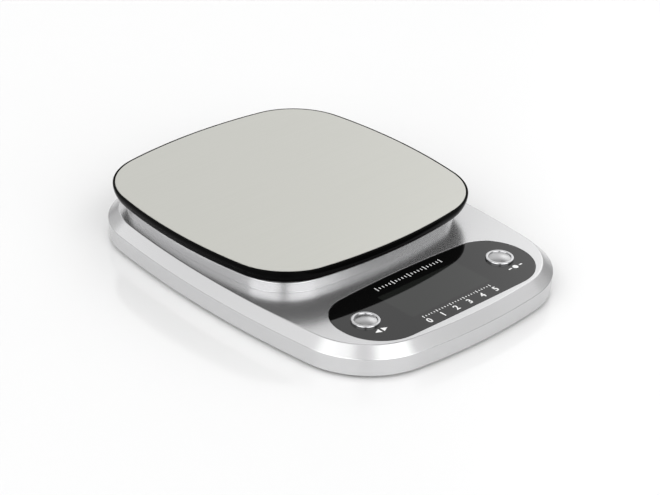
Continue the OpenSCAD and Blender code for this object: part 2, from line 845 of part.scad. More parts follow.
// Coated gauges over the beam's four thin places
module strain_gauges() {
    coat_t = 0.35;
    coat_w = 9;
    from = beam_hole_x - 3.5;
    to = beam_l / 2 - beam_seat_l - 3;
    color("white")
        for (sx = [-1, 1]) {
            round_block([sx * (from + to) / 2, platform_y], [to - from, coat_w], 1.5, z_beam_top, z_beam_top + coat_t);
            round_block([sx * (from + to) / 2, platform_y], [to - from, coat_w], 1.5, z_beam - coat_t, z_beam);
        }
}

// Machine screws up through the bottom cover into the beam's fixed end
module load_cell_screws() {
    color("silver")
        for (x = beam_screws)
            screw_up([-x, platform_y], bolt_head_d, bolt_head_h, bolt_d,
                z_beam - z_bolt_head + bolt_grip, z_bolt_head - bolt_head_h);
}

// Cable from the beam's side over the floor to the board
module load_cell_cable() {
    r = 1.2;
    start = [-15, platform_y - beam_w / 2, z_beam + 6];
    end = [-6, row_y, z_pcb];
    path = [
        start,
        start + [0, -3, 0],
        start + [0.5, -7, -1.5],
        start + [1, -11, -4.5],
        start + [1, -16, -6],
        [-13, platform_y - 34.5, z_beam],
        [-11, platform_y - 49.5, z_beam],
        [-9, platform_y - 64.5, z_beam],
        [-7, end.y + 15, z_pcb + 2],
        end + [0, 5, 3.6],
        end + [0, 1.4, 3.2],
        end + [0, 0, 1.8],
        end
    ];
    color("gray")
        tube(path, r, 8);
}

// Smoked panel with two holes for the chrome rings
module display_lens() {
    soft = 0.2;
    color("black")
        difference() {
            loft(lens_spec, [
                [0, z_seat],
                [0, z_lens - soft],
                [soft, z_lens]
            ], at_lens);
            for (sx = [-1, 1])
                post([sx * button_x, -lens_y], skirt_d + 2 * part_gap, z_seat - over, z_lens + over);
        }
}

// Chrome ring with a rounded flange on the panel and a skirt through it
module bezel(sx) {
    round_r = bezel_h / 2;
    outer = bezel_d / 2;
    color("white")
        translate([sx * button_x, -lens_y, 0])
            rotate_extrude()
                polygon(concat(
                    [[button_r, z_skirt], [skirt_d / 2, z_skirt], [skirt_d / 2, z_lens], [outer, z_lens]],
                    arc([outer - round_r, z_lens + round_r], round_r, 0, 90, 5),
                    [[button_r + 0.5, z_lens + bezel_h], [button_r, z_lens + bezel_h - 0.5]]
                ));
}
module unit_bezel() {
    bezel(-1);
}
module power_bezel() {
    bezel(1);
}

// Chrome cap with a crown, a flange that keeps it in, and a stem down to its switch
module button(sx) {
    r = cap_d / 2;
    z_rim = z_lens + cap_h;
    z_flange = z_skirt - flange_play - flange_t;
    crown_r = (r * r + crown_h * crown_h) / (2 * crown_h);
    half_angle = asin(r / crown_r);
    color("white")
        translate([sx * button_x, -lens_y, 0])
            rotate_extrude()
                polygon(concat(
                    [
                        [0, z_plunger],
                        [stem_d / 2, z_plunger],
                        [stem_d / 2, z_flange],
                        [r + cap_flange, z_flange],
                        [r + cap_flange, z_flange + flange_t],
                        [r, z_flange + flange_t]
                    ],
                    arc([0, z_rim + crown_h - crown_r], crown_r, 90 - half_angle, 90, 8)
                ));
}
module unit_button() {
    button(-1);
}
module power_button() {
    button(1);
}

// Push switch: a square body with a well, and the plunger in it
module switch_body(sx) {
    color("dimgray")
        difference() {
            block([sx * button_x, -lens_y], [switch_w, switch_w], z_pcb, z_switch);
            post([sx * button_x, -lens_y], plunger_d + 2 * run_gap, z_switch - 2 * plunger_sink, z_switch + over);
        }
}
module unit_switch_body() {
    switch_body(-1);
}
module power_switch_body() {
    switch_body(1);
}
module switch_plunger(sx) {
    color("black")
        post([sx * button_x, -lens_y], plunger_d, z_switch - plunger_sink, z_plunger);
}
module unit_switch_plunger() {
    switch_plunger(-1);
}
module power_switch_plunger() {
    switch_plunger(1);
}

// Display: the front glass with its contact ledge, the rear glass, the holder and the strip
module lcd_front_glass() {
    color("darkslategray")
        block(at_lens, [lcd_w, lcd_l], z_rear_glass, z_under_seat);
}
module lcd_rear_glass() {
    color("slategray")
        block(at_lens + [0, lcd_ledge / 2], [lcd_w, lcd_l - lcd_ledge], z_holder, z_rear_glass);
}
module lcd_holder() {
    size = [lcd_w, lcd_l - lcd_ledge];
    color("white")
        difference() {
            block(at_lens + [0, lcd_ledge / 2], size, z_pcb, z_holder);
            block(at_lens + [0, lcd_ledge / 2], size - 2 * [holder_t, holder_t], z_pcb - over, z_holder - 1);
        }
}
module zebra_strip() {
    color("lightgray")
        block(at_lens + [0, (lcd_ledge - lcd_l) / 2 - (lcd_ledge - zebra_t) / 2],
            [lcd_w - 4, zebra_t], z_pcb, z_rear_glass);
}

// Circuit board with its screw holes
module main_pcb() {
    color("darkgreen")
        difference() {
            block([0, pcb_y], [pcb_w, pcb_l], z_pcb_under, z_pcb);
            for (p = pcb_bosses)
                post(p, pcb_screw_d + 2 * screw_gap, z_pcb_under - over, z_pcb + over);
        }
}

// Resin cap over the controller, under the board
module controller_blob() {
    blob_r = 6;
    blob_h = 1.1;
    ball_r = (blob_r * blob_r + blob_h * blob_h) / (2 * blob_h);
    half_angle = asin(blob_r / ball_r);
    color("black")
        translate([0, pcb_y, z_pcb_under])
            rotate_extrude()
                polygon(concat([[0, 0]], arc([0, ball_r - blob_h], ball_r, half_angle - 90, -90, 5)));
}

// Crystal, capacitor and resistors behind the display
module pcb_components() {
    crystal = [8, 3.2, 2.6];
    capacitor_d = 4;
    capacitor_h = 3.4;
    resistor = [2, 1.2, 0.6];
    color("tan") {
        round_block([12, row_y], crystal, crystal.y / 2 - 0.1, z_pcb, z_pcb + crystal.z);
        post([24, row_y], capacitor_d, z_pcb, z_pcb + capacitor_h);
        for (i = [0 : 3])
            block([row_x + i * (lead_pitch + resistor.x), row_y], resistor, z_pcb, z_pcb + resistor.z);
    }
}

// Self-tapping screws that hold the board up to the shell
module pcb_screws() {
    color("silver")
        for (p = pcb_bosses)
            screw_up(p, pcb_head_d, pcb_head_h, pcb_screw_d, pcb_screw_l, z_pcb_under - pcb_head_h);
}

// Battery door: plate, bead with two stub pins, and a latch tongue
module battery_door() {
    latch_y = battery_y + box_w / 2 + part_gap + latch_t / 2;
    color("gainsboro")
        union() {
            block([0, door_axis_y + (door_w - bead_r) / 2], [door_l, door_w - bead_r], z_base, z_door);
            translate([0, door_axis_y, door_axis_z])
                rotate([0, 90, 0])
                    cylinder(h = door_l, r = bead_r, center = true);
            translate([0, door_axis_y, door_axis_z])
                rotate([0, 90, 0])
                    cylinder(h = door_l + 2 * pin_l, d = pin_d, center = true);
            block([0, latch_y], [latch_w, latch_t], z_door - eps, z_door + latch_h);
        }
}

// A battery along X; side is 1 when its nub points to +X
module battery(side, y) {
    soft = 0.5;
    r = battery_d / 2;
    body = battery_l - nub_h;
    from = side > 0 ? x_negative + contact_t + spring_l : x_positive - contact_t - spring_l;
    translate([from, y, z_battery])
        rotate([0, side * 90, 0])
            rotate_extrude()
                polygon([
                    [0, 0],
                    [r - soft, 0],
                    [r, soft],
                    [r, body - soft],
                    [r - soft, body],
                    [nub_d / 2, body],
                    [nub_d / 2, battery_l],
                    [0, battery_l]
                ]);
}
module battery_1() {
    color("darkorange")
        battery(1, battery_y - pair_y);
}
module battery_2() {
    color("darkorange")
        battery(-1, battery_y + pair_y);
}

// A sheet contact against the wall at x, facing along side
module contact_sheet(x, side, y, width) {
    translate([side > 0 ? x : x - contact_t, y - width / 2, z_battery - contact_h / 2])
        cube([contact_t, width, contact_h]);
}
module contact_tab(y) {
    translate([x_negative - box_t - tab_out, y - tab_w / 2, z_battery - contact_t / 2])
        cube([box_t + tab_out + eps, tab_w, contact_t]);
}
module contact_spring(x, side, y) {
    sink = 0.1;
    path = helix(x + side * (contact_t - sink + spring_wire / 2), side * (spring_l + sink - spring_wire - 0.05),
        spring_base_r, spring_tip_r, spring_turns, side);
    foot_point = [x + side * (contact_t - sink), path[0].y, path[0].z];
    translate([0, y, z_battery])
        tube(concat([foot_point], path), spring_wire / 2, 6);
}
module contact_bump(x, side, y) {
    translate([x + side * (contact_t - eps), y, z_battery])
        rotate([0, side * 90, 0])
            cylinder(h = bump_h - 0.05, d1 = 5, d2 = 2.6);
}
module contact_negative() {
    color("silver") {
        contact_sheet(x_negative, 1, battery_y - pair_y, contact_w);
        contact_tab(battery_y - pair_y);
        contact_spring(x_negative, 1, battery_y - pair_y);
    }
}
module contact_positive() {
    color("silver") {
        contact_sheet(x_negative, 1, battery_y + pair_y, contact_w);
        contact_tab(battery_y + pair_y);
        contact_bump(x_negative, 1, battery_y + pair_y);
    }
}
module contact_bridge() {
    color("silver") {
        contact_sheet(x_positive, -1, battery_y, contact_w + 2 * pair_y);
        contact_bump(x_positive, -1, battery_y - pair_y);
        contact_spring(x_positive, -1, battery_y + pair_y);
    }
}
spring_pitch = spring_l / spring_turns;
echo("least gap between a contact spring's turns", spring_pitch - spring_wire);

// Leads from the contacts past the beam to the board
module battery_leads() {
    r = 0.7;
    tab_x = x_negative - box_t - tab_out;
    color("firebrick")
        for (k = [0, 1]) {
            start = [tab_x, battery_y + (2 * k - 1) * pair_y, z_battery];
            end = [row_x + 15 - lead_pitch * k, row_y, z_pcb];
            tube([
                start,
                start + [-2, 0, 0],
                start + [-6, -3, 0.3],
                [-42 - 3 * k, battery_y - 17, z_battery + 0.5],
                [-43 - 3 * k, battery_y - 33, z_battery],
                [-43.5 - 3 * k, platform_y - 9.5, z_battery],
                [-43.5 - 3 * k, platform_y - 29.5, z_pcb + 1.5],
                [-42 - 3 * k, platform_y - 54.5, z_pcb + 1.5],
                [-36 - 5 * k, end.y + 20, z_pcb + 2],
                end + [0, 4, 3],
                end + [0, 1, 2.4],
                end + [0, 0, 1.2],
                end
            ], r, 8);
        }
}

upper_housing();
lower_housing();
housing_screws();
foot_front_left();
foot_front_right();
foot_back_left();
foot_back_right();
platform_plate();
platform_tape();
platform_tray();
platform_screws();
upper_spacer();
load_cell();
strain_gauges();
lower_spacer();
load_cell_screws();
load_cell_cable();
display_lens();
unit_bezel();
power_bezel();
unit_button();
power_button();
unit_switch_body();
power_switch_body();
unit_switch_plunger();
power_switch_plunger();
lcd_front_glass();
lcd_rear_glass();
lcd_holder();
zebra_strip();
main_pcb();
controller_blob();
pcb_components();
pcb_screws();
battery_door();
battery_1();
battery_2();
contact_negative();
contact_positive();
contact_bridge();
battery_leads();
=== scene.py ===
from math import asin, atan2, cos, hypot, pi, radians, sin, sqrt, tan

import bmesh
import bpy
from mathutils import Matrix, Vector
from mathutils.geometry import tessellate_polygon


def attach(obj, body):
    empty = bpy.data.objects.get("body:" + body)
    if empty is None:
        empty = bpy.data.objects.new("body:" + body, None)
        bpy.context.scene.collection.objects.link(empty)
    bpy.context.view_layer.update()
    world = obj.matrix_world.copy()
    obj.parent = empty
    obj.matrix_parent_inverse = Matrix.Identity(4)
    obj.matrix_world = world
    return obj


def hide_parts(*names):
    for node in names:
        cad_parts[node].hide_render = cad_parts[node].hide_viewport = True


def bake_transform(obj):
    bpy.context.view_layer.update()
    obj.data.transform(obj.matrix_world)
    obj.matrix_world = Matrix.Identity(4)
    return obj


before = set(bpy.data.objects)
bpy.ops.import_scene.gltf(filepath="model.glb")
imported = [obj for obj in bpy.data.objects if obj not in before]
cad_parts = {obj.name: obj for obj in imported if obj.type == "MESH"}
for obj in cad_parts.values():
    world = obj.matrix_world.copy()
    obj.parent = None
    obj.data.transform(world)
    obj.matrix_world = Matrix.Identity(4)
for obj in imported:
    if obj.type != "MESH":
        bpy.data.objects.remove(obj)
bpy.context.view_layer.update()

MM = 0.001


# Camera: a long lens at the photograph's angle, from the front left and above.
# It aims a little in front of the middle of the scale and leans by under two degrees.
AZIMUTH = radians(-43.9)
ELEVATION = radians(29.1)
LEAN = radians(1.7)
TARGET = Vector((-15.9, -19.2, 20.6)) * MM
DISTANCE = 1123
DOTS_PER_MM, DOTS_ACROSS = 1.911, 660
SENSOR, NEAREST = 36, 0.05

back = Vector((
    sin(AZIMUTH) * cos(ELEVATION),
    -cos(AZIMUTH) * cos(ELEVATION),
    sin(ELEVATION),
))
level = Vector((cos(AZIMUTH), sin(AZIMUTH), 0))
upright = back.cross(level)
right = level * cos(LEAN) + upright * sin(LEAN)
up = upright * cos(LEAN) - level * sin(LEAN)
scene = bpy.context.scene
lens = bpy.data.cameras.new("camera")
lens.sensor_width = SENSOR
lens.lens = DOTS_PER_MM * DISTANCE / DOTS_ACROSS * SENSOR
lens.clip_start = NEAREST
camera = bpy.data.objects.new("camera", lens)
axes = Matrix((right, up, back)).transposed().to_4x4()
camera.matrix_world = Matrix.Translation(TARGET + back * (DISTANCE * MM)) @ axes
scene.collection.objects.link(camera)
scene.camera = camera
scene.view_settings.view_transform = "Standard"


# Studio: a pale, slightly glossy floor in a dim white room, with soft glowing boxes round
# it and one light overhead. None of it belongs to the scale.
FLOOR_SIZE = 6.0
ROOM_GLOW = 0.3
BOXES = [
    # heading and height in degrees, radii of the bright middle and of the soft edge, glow
    (50, 30, 14, 34, 0.72),
    (16, 30, 15, 24, 0.85),
    (130, 38, 18, 34, 0.75),
    (96, 18, 10, 26, 0.35),
    (172, 60, 10, 20, 0.95),
    (-80, 57, 10, 22, 1.2),
    (-33, 46, 12, 26, 0.5),
    (-12, 30, 8, 20, 0.32),
    (-133, 66, 8, 20, 0.5),
    (-170, 27, 22, 35, 2.1),
    (-94, 27, 23, 35, 2.1),
]
TOP_LIGHT, TOP_SIZE, TOP_AWAY = 3.0, 1.2, 2.2


def reckon(operation):
    """A sum of one value or two, as a node beside the first."""
    return lambda a, b=0: a.tree.node("ShaderNodeMath", {"operation": operation}, {0: a, 1: b})


class Value:
    """One output of a tree's nodes, which can be used in sums."""

    __add__ = __radd__ = reckon("ADD")
    __mul__ = __rmul__ = reckon("MULTIPLY")
    __mod__ = reckon("MODULO")
    __gt__ = reckon("GREATER_THAN")
    __lt__ = reckon("LESS_THAN")
    __abs__ = reckon("ABSOLUTE")

    def __init__(self, tree, socket):
        self.tree = tree
        self.socket = socket


class Tree:
    """A tree of nodes that are all added by one method."""

    def __init__(self, tree):
        self.tree = tree

    def feed(self, socket, value):
        if isinstance(value, Value):
            self.tree.links.new(value.socket, socket)
        else:
            socket.default_value = value

    def node(self, kind, settings=None, sockets=None, out=0):
        node = self.tree.nodes.new(kind)
        for name, value in (settings or {}).items():
            setattr(node, name, value)
        for name, value in (sockets or {}).items():
            self.feed(node.inputs[name], value)
        return Value(self, node.outputs[out])

    def along(self, where, axis):
        """The x, y or z part of a place."""
        return self.node("ShaderNodeSeparateXYZ", None, {"Vector": where}, out=axis)


class Finish(Tree):
    """A material whose sockets are set by name."""

    def __init__(self, name, colour, **sockets):
        self.material = bpy.data.materials.new(name)
        self.material.use_nodes = True
        self.material.diffuse_color = (*colour, 1)
        super().__init__(self.material.node_tree)
        self.principled = self.tree.nodes["Principled BSDF"]
        self.colour = colour
        self.set("Base Color", (*colour, 1))
        for socket, value in sockets.items():
            self.set(socket.replace("_", " "), value)

    def set(self, socket, value):
        self.feed(self.principled.inputs[socket], value)

    def place(self, scale=(1, 1, 1), middle=(0, 0, 0)):
        """The piece's own coordinates in metres about a middle, stretched by scale."""
        where = self.node("ShaderNodeTexCoord", out="Object")
        shift = [-c * s for c, s in zip(middle, scale)]
        return self.node("ShaderNodeMapping", None, {
            "Vector": where, "Location": shift, "Scale": scale,
        })

    def noise(self, scale, detail=2.0, where=None):
        return self.node("ShaderNodeTexNoise", None, {
            "Vector": where or self.place(), "Scale": scale, "Detail": detail,
        })

    def cells(self, scale, where=None):
        return self.node("ShaderNodeTexVoronoi", None, {
            "Vector": where or self.place(), "Scale": scale,
        })

    def mix(self, factor, first, second):
        """first where factor is 0 and second where it is 1, as colours."""
        first, second = [c if isinstance(c, Value) else (*c, 1) for c in (first, second)]
        colours = {0: factor, 6: first, 7: second}
        return self.node("ShaderNodeMix", {"data_type": "RGBA"}, colours, out=2)

    def shade(self, factor, second):
        """The finish's colour, turning to a second one with factor."""
        self.set("Base Color", self.mix(factor, self.colour, second))

    def bump(self, height, distance):
        self.set("Normal", self.node("ShaderNodeBump", None, {
            "Height": height, "Distance": distance,
        }))


ground = Finish("studio_floor", (0.78, 0.78, 0.78), Roughness=0.12)
ground.shade(ground.noise(3), (0.77, 0.77, 0.77))
bpy.ops.mesh.primitive_plane_add(size=FLOOR_SIZE)
floor = bpy.context.active_object
floor.name = "studio_floor"
floor.data.materials.append(ground.material)

room = bpy.data.worlds.new("studio")
scene.world = room
room.use_nodes = True
sky = Tree(room.node_tree)
towards = sky.node("ShaderNodeTexCoord", out="Generated")
glow = ROOM_GLOW
for heading, height, middle, edge, strength in BOXES:
    heading, height = radians(heading), radians(height)
    flat = cos(height)
    box = (cos(heading) * flat, sin(heading) * flat, sin(height))
    facing = sky.node(
        "ShaderNodeVectorMath", {"operation": "DOT_PRODUCT"}, {0: towards, 1: box}, "Value"
    )
    glow = glow + sky.node("ShaderNodeMapRange", {"interpolation_type": "SMOOTHSTEP"}, {
        "Value": facing, "To Max": strength,
        "From Min": cos(radians(edge)), "From Max": cos(radians(middle)),
    })
background = room.node_tree.nodes["Background"]
background.inputs["Color"].default_value = (1, 1, 1, 1)
sky.feed(background.inputs["Strength"], glow)

lamp = bpy.data.lights.new("top_light", "AREA")
lamp.energy = TOP_LIGHT
lamp.size = TOP_SIZE
top_light = bpy.data.objects.new("top_light", lamp)
top_light.location = (0, 0, TOP_AWAY)
scene.collection.objects.link(top_light)


# Bottom cover: moulded plastic with fine spark-eroded grain, let into the shell's lower
# edge and screwed up from below. It carries the load cell, the battery box and the feet.
grained = Finish("grained_plastic", (0.60, 0.60, 0.59))
grain = grained.noise(2600, detail=4)
grained.shade(grained.noise(60), (0.56, 0.56, 0.555))
grained.set("Roughness", 0.42 + 0.2 * grain)
grained.bump(grain, 0.00003)


def dress(finish, *nodes):
    """Gives pieces that are kept from the model their finish."""
    for name in nodes:
        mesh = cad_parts[name].data
        mesh.materials.clear()
        mesh.materials.append(finish.material)


dress(grained, "lower_housing")


# Feet: four soft rubber discs pressed into recesses of the bottom cover. Each has a
# softened edge and two grip rings in its face.
FOOT_APART = (124, 178)
FOOT_R, FOOT_TALL = 8.0, 2.8
GRIP_RINGS, GRIP_DEEP = (2.6, 5.2), 0.35
rubber = Finish("foot_rubber", (0.045, 0.045, 0.047), Specular_IOR_Level=0.3)
rub = rubber.noise(1800, detail=3)
rubber.set("Roughness", 0.66 + 0.22 * rub)
rubber.shade(rubber.noise(150), (0.06, 0.06, 0.06))
rubber.bump(rub, 0.00002)


def arc(centre, radius, start, end, steps):
    """Points on an arc, its first one included and its last one left out."""
    return [
        centre + radius * Vector((cos(a), sin(a)))
        for a in (start + (end - start) * i / steps for i in range(steps))
    ]


def soften(corners, steps=6, guard=0.12):
    """A profile whose corners, each (across, up, radius), are rounded. A guard point on
    each side of a corner keeps the flats flat under smooth shading."""
    points = []
    for i, (x, z, radius) in enumerate(corners):
        here = Vector((x, z))
        if not radius or i in (0, len(corners) - 1):
            points.append(here)
            continue
        before = (Vector(corners[i - 1][:2]) - here).normalized()
        after = (Vector(corners[i + 1][:2]) - here).normalized()
        half = before.angle(after) / 2
        reach = radius / tan(half)
        centre = here + (before + after).normalized() * (radius / sin(half))
        first, last = here + before * reach - centre, here + after * reach - centre
        swing = first.angle_signed(last)
        points.append(here + before * (reach + guard))
        turns = (-swing * k / steps for k in range(steps + 1))
        points += [centre + Matrix.Rotation(turn, 2) @ first for turn in turns]
        points.append(here + after * (reach + guard))
    return points


def finished(mesh, name, finish, sharp=35):
    """An object of a closed mesh: faces turned outwards, shaded smooth up to the sharp angle."""
    shape = bmesh.new()
    shape.from_mesh(mesh)
    bmesh.ops.remove_doubles(shape, verts=shape.verts, dist=1e-7)
    bmesh.ops.dissolve_degenerate(shape, edges=shape.edges, dist=1e-7)
    bmesh.ops.recalc_face_normals(shape, faces=shape.faces)
    shape.to_mesh(mesh)
    shape.free()
    mesh.shade_smooth()
    mesh.set_sharp_from_angle(angle=radians(sharp))
    mesh.materials.clear()
    mesh.materials.append(finish.material)
    thing = bpy.data.objects.new(name, mesh)
    scene.collection.objects.link(thing)
    return thing


def laid_along(x, y, z, way=1):
    """The place of a turned piece that lies along X, its top towards +X or -X."""
    return Matrix.Translation((x, y, z)) @ Matrix.Rotation(way * pi / 2, 4, "Y")


class Skin:
    """The points and faces of one closed piece, in millimetres, gathered ring by ring."""

    def __init__(self):
        self.points = []
        self.faces = []

    def loop(self, points):
        start = len(self.points)
        self.points += points
        return list(range(start, len(self.points)))

    def ring(self, plan, z, y=0.0):
        return self.loop((p.x, p.y + y, z) for p in plan)

    def strip(self, *rings):
        """Faces from each ring to the next."""
        for first, second in zip(rings, rings[1:]):
            self.faces += zip(first, first[1:] + first[:1], second[1:] + second[:1], second)

    def fill(self, *rings):
        """A flat face inside the first ring and outside the others."""
        order = [i for ring in rings for i in ring]
        loops = [[Vector(self.points[i]) for i in ring] for ring in rings]
        self.faces += [[order[i] for i in face] for face in tessellate_polygon(loops)]

    def close(self, *rings):
        """Faces from each ring to the next, and a flat face inside the first and the last."""
        self.strip(*rings)
        self.fill(rings[0])
        self.fill(rings[-1])

    def wall(self, plan, *heights):
        """A plan's rings at two heights, with faces between them."""
        rings = [self.ring(plan, z) for z in heights]
        self.strip(*rings)
        return rings

    def prism(self, plan, *heights):
        """A closed plate of a plan between two heights."""
        self.close(*(self.ring(plan, z) for z in heights))

    def turned(self, profile, place=Matrix.Identity(4), steps=64):
        """A closed or axis-to-axis profile of (radius, height) points turned round an axis."""
        turns = arc(Vector((0, 0)), 1, 0, 2 * pi, steps)
        rows = []
        for radius, height in profile:
            if radius < 1e-6:
                rows.append(self.loop([place @ Vector((0, 0, height))]) * steps)
            else:
                points = (Vector((radius * t.x, radius * t.y, height)) for t in turns)
                rows.append(self.loop(place @ point for point in points))
        if profile[0][0] > 1e-6:
            rows.append(rows[0])
        for first, second in zip(rows, rows[1:]):
            for i in range(steps):
                j = (i + 1) % steps
                face = list(dict.fromkeys((first[i], first[j], second[j], second[i])))
                if len(face) > 2:
                    self.faces.append(face)

    def piece(self, name, finish, sharp=35):
        mesh = bpy.data.meshes.new(name)
        mesh.from_pydata([[c * MM for c in p] for p in self.points], [], self.faces)
        return finished(mesh, name, finish, sharp)


class Rule(Tree):
    """A Geometry Nodes tree with named sizes, for what repeats or follows a path."""

    def __init__(self, name):
        super().__init__(bpy.data.node_groups.new(name, "GeometryNodeTree"))
        self.name = name
        self.tree.interface.new_socket(
            "Geometry", in_out="OUTPUT", socket_type="NodeSocketGeometry"
        )
        self.given = self.tree.nodes.new("NodeGroupInput")
        self.sizes = {}

    def size(self, name, value, kind="Float"):
        """A named size, which the rule's nodes can use."""
        socket = self.tree.interface.new_socket(name, socket_type="NodeSocket" + kind)
        self.sizes[socket.identifier] = value
        return Value(self, self.given.outputs[name])

    def shape(self, name, thing):
        """The mesh of an object, which the rule is given."""
        given = {"Object": self.size(name, thing, "Object")}
        return self.node("GeometryNodeObjectInfo", None, given, "Geometry")

    def spots(self, name, places, edges=()):
        """Points at places in millimetres, and edges between them."""
        mesh = bpy.data.meshes.new(name)
        mesh.from_pydata([Vector(p) * MM for p in places], edges, [])
        return self.shape(name, bpy.data.objects.new(name, mesh))

    def repeat(self, points, shape, **sockets):
        """The shape at each point."""
        sockets.update(Points=points, Instance=shape)
        return self.node("GeometryNodeInstanceOnPoints", None, sockets)

    def move(self, geometry, **how):
        """The geometry, moved or turned."""
        return self.node("GeometryNodeTransform", None, {"Geometry": geometry, **how})

    def tube(self, way, thick, sides):
        """A round tube along a curve, cut flat at its ends."""
        ring = self.node("GeometryNodeCurvePrimitiveCircle", None, {
            "Resolution": sides, "Radius": self.size("Wire", thick / 2 * MM),
        })
        return self.node("GeometryNodeCurveToMesh", None, {
            "Curve": way, "Profile Curve": ring, "Fill Caps": True,
        })

    def piece(self, geometry, finish, sharp=35):
        """What the rule makes, as a plain piece."""
        real = self.node("GeometryNodeRealizeInstances", None, {"Geometry": geometry})
        dressed = self.node("GeometryNodeSetMaterial", None, {
            "Geometry": real, "Material": finish.material,
        })
        self.feed(self.tree.nodes.new("NodeGroupOutput").inputs[0], dressed)
        holder = bpy.data.objects.new(self.name, bpy.data.meshes.new(self.name))
        scene.collection.objects.link(holder)
        modifier = holder.modifiers.new("rule", "NODES")
        modifier.node_group = self.tree
        for identifier, value in self.sizes.items():
            modifier[identifier] = value
        result = holder.evaluated_get(bpy.context.evaluated_depsgraph_get())
        mesh = bpy.data.meshes.new_from_object(result)
        holder.modifiers.remove(modifier)
        bpy.data.objects.remove(holder)
        return finished(mesh, self.name, finish, sharp)


def template(skin, name, finish):
    """A piece that only serves as the shape that a rule repeats."""
    thing = skin.piece(name, finish)
    scene.collection.objects.unlink(thing)
    return thing


grips = [
    (radius + out, deep, 0) for radius in GRIP_RINGS
    for out, deep in ((0, 0), (0.2, GRIP_DEEP), (0.8, GRIP_DEEP), (1.0, 0))
]
foot = Skin()
foot.turned(soften(
    [(0, 0, 0)] + grips + [(FOOT_R, 0, 0.6), (FOOT_R, FOOT_TALL, 0.1), (0, FOOT_TALL, 0)]
))
feet = Rule("rubber_feet")
corners = feet.node("GeometryNodeMeshGrid", None, {
    "Size X": feet.size("Apart across", FOOT_APART[0] * MM),
    "Size Y": feet.size("Apart along", FOOT_APART[1] * MM),
    "Vertices X": 2, "Vertices Y": 2,
})
one_foot = feet.shape("Foot", template(foot, "foot", rubber))
rubber_feet = feet.piece(feet.repeat(corners, one_foot), rubber)
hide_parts("foot_front_left", "foot_front_right", "foot_back_left", "foot_back_right")
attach(rubber_feet, "base")


# Load cell: a milled aluminium beam between two steel shims, with coated gauges over
# its thin places and a grey cable to the board. Machine screws hold it from below. Its
# thin places bend when the platform is loaded, so the beam reaches from base to platform.
PLATFORM_Y = 29.5
BEAM_SCREWS = (17.5, 32.5)
BEAM_HALF, BEAM_WIDE, Z_BEAM, Z_BEAM_TOP = 37.5, 12.7, 7.0, 19.7
BEND_HOLE_X, BEND_HOLE_R, BEND_SLOT, BEAM_SCREW_HOLE = 7.0, 5.0, 3.0, 4.1
BEND_STEPS, STEP_LONG, CROWN = 40, 2.5, 0.002
GAUGE_X, GAUGE_LONG, GAUGE_WIDE, GAUGE_THICK, GAUGE_CORNER = 7.0, 7.0, 9.0, 0.35, 1.5
CABLE, CABLE_PATH = 2.4, [
    (-15, 23.15, 13), (-15, 20.15, 13), (-14.5, 16.15, 11.5), (-14, 12.15, 8.5), (-14, 7.15, 7),
    (-13, -5, 7), (-11, -20, 7), (-9, -35, 7), (-7, -49.4, 9), (-6, -59.4, 10.6), (-6, -63, 10.2),
    (-6, -64.4, 8.8), (-6, -64.4, 7),
]
milled = Finish("milled_aluminium", (0.72, 0.72, 0.73), Metallic=1.0)
cuts = milled.noise(1.0, detail=3, where=milled.place((20, 2600, 2600)))
milled.set("Roughness", 0.26 + 0.2 * cuts)
milled.bump(cuts, 0.000008)

silicone = Finish("white_silicone", (0.82, 0.82, 0.79), Roughness=0.45)
lump = silicone.noise(700)
silicone.shade(lump, (0.74, 0.74, 0.70))
silicone.bump(lump, 0.00008)

sheath = Finish("grey_sheath", (0.17, 0.17, 0.175), Roughness=0.5)
sheath.shade(sheath.noise(400), (0.20, 0.20, 0.20))
sheath.bump(sheath.noise(2500), 0.00001)


def run_wire(name, places, thick, finish, node):
    """A round wire on a smooth curve through places in millimetres."""
    rule = Rule(name)
    way = rule.spots("Way", places, [(i, i + 1) for i in range(len(places) - 1)])
    way = rule.node("GeometryNodeMeshToCurve", None, {"Mesh": way})
    way = rule.node("GeometryNodeCurveSplineType", {"spline_type": "CATMULL_ROM"}, {"Curve": way})
    way = rule.node("GeometryNodeSetSplineResolution", None, {"Geometry": way, "Resolution": 8})
    piece = rule.piece(rule.tube(way, thick, 20), finish, 60)
    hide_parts(node)
    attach(piece, "base")


run_wire("grey_cable", CABLE_PATH, CABLE, sheath, "load_cell_cable")

zinc = Finish("zinc_plating", (0.58, 0.59, 0.60), Metallic=1.0)
bloom = zinc.noise(600, detail=4)
zinc.set("Roughness", 0.27 + 0.16 * bloom)
zinc.shade(bloom, (0.50, 0.52, 0.54))
dress(zinc, "upper_spacer", "lower_spacer")


def circle(x, y, diameter, steps=64):
    """A closed circle in plan."""
    return arc(Vector((x, y)), diameter / 2, 0, 2 * pi, steps)


def rectangle(x, y, width, length, radius=0.0):
    """A closed rectangle in plan, with round corners if it has a radius."""
    w, l = width / 2 - radius, length / 2 - radius
    points = []
    for cx, cy, turn in [(w, -l, -90), (w, l, 0), (-w, l, 90), (-w, -l, 180)]:
        corner, start = Vector((x + cx, y + cy)), radians(turn)
        end = start + pi / 2
        if radius:
            points += arc(corner, radius, start, end, 6)
        points.append(corner + radius * Vector((cos(end), sin(end))))
    return points


beam = Skin()
